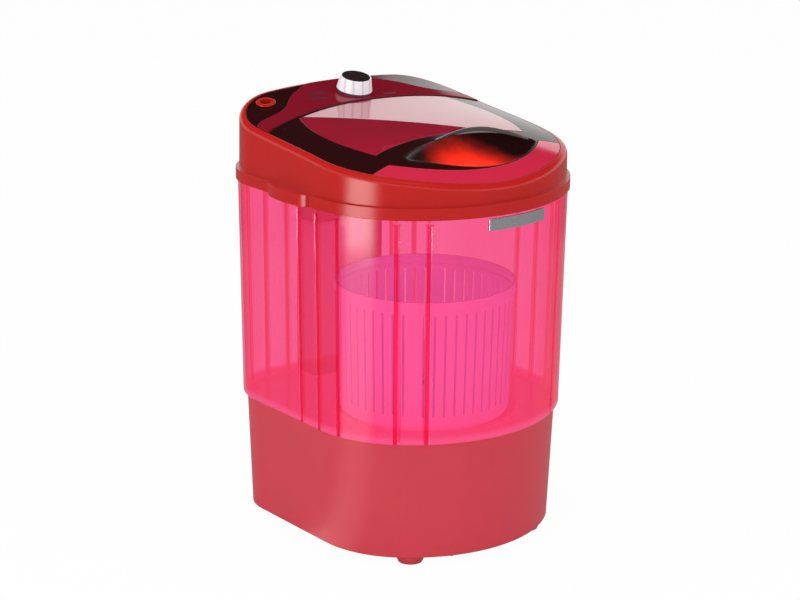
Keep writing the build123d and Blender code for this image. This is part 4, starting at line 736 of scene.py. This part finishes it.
class WASHER_OT_lid(bpy.types.Operator):
    """Gives the lid's window and scoop their finishes"""

    bl_idname = "washer.lid"
    bl_label = "Lid"

    def execute(self, context):
        colours = context.scene.washer_colours
        # Clear tinted acrylic sheet: pink-red inside, partly from a painted glow in its haze, with one broad,
        # slanted reflection on it
        glass = clear_plastic(
            "clear_pink_acrylic", colours.window_tint, linear("#C42446"), haze=0.55, roughness=0.03,
            steepness=2.4, painted_glow=0.75, sheet=True,
        )
        dress(glass, "lid_window")
        dress(self.scoop_material(), "lid_scoop")
        return {"FINISHED"}

    def scoop_material(self):
        """Smoked acrylic over red: black all round, with a painted glow, orange-red colour and emission, in
        the low front of the bowl.
        """
        material, tree, output = new_material("smoked_acrylic_painted_orange_light")
        place = add_node(tree, "ShaderNodeTexCoord").outputs["Object"]
        shift = add_node(
            tree, "ShaderNodeMapping",
            {
                "Vector": place, "Scale": (1 / PAINTED_GLOW_RADII[0], 1 / PAINTED_GLOW_RADII[1], 0.0),
                "Location": (-PAINTED_GLOW_MIDDLE[0] / PAINTED_GLOW_RADII[0], -PAINTED_GLOW_MIDDLE[1] / PAINTED_GLOW_RADII[1], 0.0),
            },
        )
        length = add_node(tree, "ShaderNodeVectorMath", {0: shift.outputs["Vector"]}, operation="LENGTH")
        grain = add_node(tree, "ShaderNodeTexNoise", {"Vector": place, "Scale": 1 / PAINTED_GLOW_GRAIN})
        wavy = add_node(
            tree, "ShaderNodeMath", {0: grain.outputs["Fac"], 1: PAINTED_GLOW_WAVINESS, 2: length.outputs["Value"]},
            operation="MULTIPLY_ADD",
        )
        share = add_node(
            tree, "ShaderNodeMapRange",
            {
                "Value": wavy.outputs["Value"], "From Min": PAINTED_GLOW_FULL, "From Max": PAINTED_GLOW_GONE,
                "To Min": 1.0, "To Max": 0.0,
            },
            interpolation_type="SMOOTHSTEP",
        )
        # Painted glow: the colour goes from near black to orange-red, and gives off light, toward the low
        # front of the bowl
        tint = add_node(
            tree, "ShaderNodeMix",
            {0: share.outputs["Result"], 6: (*linear("#1E0607"), 1), 7: (*linear("#FF2A12"), 1)},
            data_type="RGBA",
        )
        painted_glow = add_node(
            tree, "ShaderNodeMath", {0: share.outputs["Result"], 1: PAINTED_GLOW_STRENGTH}, operation="MULTIPLY"
        )
        shader = add_node(
            tree, "ShaderNodeBsdfPrincipled",
            {
                "Base Color": tint.outputs[2], "Roughness": 0.25, "Emission Color": tint.outputs[2],
                "Emission Strength": painted_glow.outputs["Value"],
                "Normal": fine_surface(tree, place, grain_mm=8.0, depth_mm=0.005, edge_mm=0.5),
            },
        )
        tree.links.new(shader.outputs["BSDF"], output.inputs["Surface"])
        return material


class WASHER_OT_dial(bpy.types.Operator):
    """Gives the dial's collar, the timer knob and its cap their finishes"""

    bl_idname = "washer.dial"
    bl_label = "Timer dial"

    def execute(self, context):
        colours = context.scene.washer_colours
        # Clear styrene with a lilac cast: a pale ring that lets the panel under it show
        lilac = clear_plastic(
            "clear_lilac_styrene", (0.86, 0.66, 0.76), linear("#C88CA8"), haze=0.25, roughness=0.1
        )
        dress(lilac, "dial_collar")
        dress(self.white_with_painted_rib_shade(colours.knob_white), "timer_knob")
        # Dark acrylic: a near-black disc with a clear highlight
        dark = moulded("dark_cap_acrylic", linear("#241416"), 0.12, grain_mm=4.0, depth_mm=0.005)
        dress(dark, "knob_cap")
        return {"FINISHED"}

    def white_with_painted_rib_shade(self, colour):
        """White ABS with a painted glow, and painted shade in stripes all round the grip where the furrows
        between its ribs are.
        """
        material, tree, output = new_material("white_abs_painted_rib_shade")
        place = add_node(tree, "ShaderNodeTexCoord").outputs["Object"]
        shift = add_node(tree, "ShaderNodeMapping", {"Vector": place, "Location": (0.0, -DIAL_Y, 0.0)})
        split = add_node(tree, "ShaderNodeSeparateXYZ", {"Vector": shift.outputs["Vector"]})
        turn = add_node(
            tree, "ShaderNodeMath", {0: split.outputs["X"], 1: split.outputs["Y"]}, operation="ARCTAN2"
        )
        times = add_node(
            tree, "ShaderNodeMath", {0: turn.outputs["Value"], 1: KNOB_RIBS}, operation="MULTIPLY"
        )
        wave = add_node(tree, "ShaderNodeMath", {0: times.outputs["Value"]}, operation="SINE")
        furrow_shade = add_node(
            tree, "ShaderNodeMapRange",
            {"Value": wave.outputs["Value"], "From Min": FURROW_SHADE_FROM, "From Max": FURROW_SHADE_TO},
        )
        # Painted shade: a darker white in the furrows between the ribs
        tint = add_node(
            tree, "ShaderNodeMix",
            {0: furrow_shade.outputs["Result"], 6: (*colour[:3], 1), 7: (*linear("#DDD6E0"), 1)}, data_type="RGBA",
        )
        shader = add_node(
            tree, "ShaderNodeBsdfPrincipled",
            {
                "Base Color": tint.outputs[2], "Roughness": 0.25, "Emission Color": tint.outputs[2],
                "Emission Strength": KNOB_PAINTED_GLOW,
                "Normal": fine_surface(tree, place, grain_mm=2.0, depth_mm=0.01, edge_mm=0.5),
            },
        )
        tree.links.new(shader.outputs["BSDF"], output.inputs["Surface"])
        return material


class WASHER_OT_basket(bpy.types.Operator):
    """Gives the basket and the pulsator their pink polypropylene"""

    bl_idname = "washer.basket"
    bl_label = "Basket"

    def execute(self, context):
        colours = context.scene.washer_colours
        # Moulded polypropylene: waxy and almost matt, a little bright from a painted glow, an emission though
        # it is no lamp
        pink = moulded(
            "pink_polypropylene", colours.basket_pink, 0.4, grain_mm=2.5, depth_mm=0.02, painted_glow=0.085
        )
        dress(pink, "spin_basket", "pulsator")
        return {"FINISHED"}


class WASHER_OT_drive(bpy.types.Operator):
    """Gives the timer's switch, the drive, the drain, the gland and the screws their finishes"""

    bl_idname = "washer.drive"
    bl_label = "Drive and fittings"

    def execute(self, context):
        # Moulded nylon: matt black with a faint sheen
        black = moulded("black_nylon", linear("#1B1B1D"), 0.45, grain_mm=1.5, depth_mm=0.02)
        dress(
            black, "timer_switch", "driven_pulley", "motor_pulley", "motor_fan", "bearing_housing",
            "cable_gland", "drain_pipe",
        )
        # Moulded rubber: dull black, with no clear highlight
        rubber = moulded("black_rubber", linear("#121212"), 0.75, grain_mm=1.0, depth_mm=0.03)
        dress(rubber, "shaft_seal", "drive_belt", "motor_grommets")
        # Zinc-plated steel: a grey, slightly streaked shine
        steel = metal("zinc_plated_steel", linear("#B9BAC0"), 0.35, brush_mm=0.2)
        dress(
            steel, "foot_screws", "base_screws", "tub_screws", "bearing_screws", "motor_screws",
            "pulsator_screw", "hinge_pins", "drive_shaft", "motor_shaft", "motor_plate", "timer_shaft",
        )
        # Sintered bronze: dull yellow-brown
        bronze = metal("sintered_bronze", linear("#A9793F"), 0.5, brush_mm=0.2)
        dress(bronze, "shaft_bushes")
        # Enamelled steel: even grey with a soft gloss
        paint = moulded("grey_enamel_on_steel", linear("#8A8D92"), 0.35, grain_mm=1.5, depth_mm=0.02)
        dress(paint, "motor", "capacitor")
        return {"FINISHED"}


GROUPS = (
    WASHER_OT_stage, WASHER_OT_base, WASHER_OT_tub, WASHER_OT_top, WASHER_OT_lid, WASHER_OT_dial,
    WASHER_OT_basket, WASHER_OT_drive,
)


class WASHER_PT_panel(bpy.types.Panel):
    """Lists the sizes, the colours and the groups of the washing machine"""

    bl_idname = "WASHER_PT_panel"
    bl_label = "Washing machine"
    bl_space_type = "VIEW_3D"
    bl_region_type = "UI"
    bl_category = "Washer"

    def draw(self, context):
        layout = self.layout
        for group in (context.scene.washer_colours, context.scene.washer_studio):
            box = layout.box()
            for name in group.__annotations__:
                box.prop(group, name)
        for operator in GROUPS:
            layout.operator(operator.bl_idname)


CLASSES = (WasherColours, WasherStudio, *GROUPS, WASHER_PT_panel)


def register():
    """Registers the classes and hangs the settings on the scene."""
    for each in CLASSES:
        bpy.utils.register_class(each)
    bpy.types.Scene.washer_colours = PointerProperty(type=WasherColours)
    bpy.types.Scene.washer_studio = PointerProperty(type=WasherStudio)


def unregister():
    """Takes the settings and the classes away again."""
    del bpy.types.Scene.washer_studio
    del bpy.types.Scene.washer_colours
    for each in reversed(CLASSES):
        bpy.utils.unregister_class(each)


def main():
    """Builds every group in turn."""
    register()
    for operator in GROUPS:
        group, name = operator.bl_idname.split(".")
        getattr(getattr(bpy.ops, group), name)()


if __name__ == "__main__":
    main()
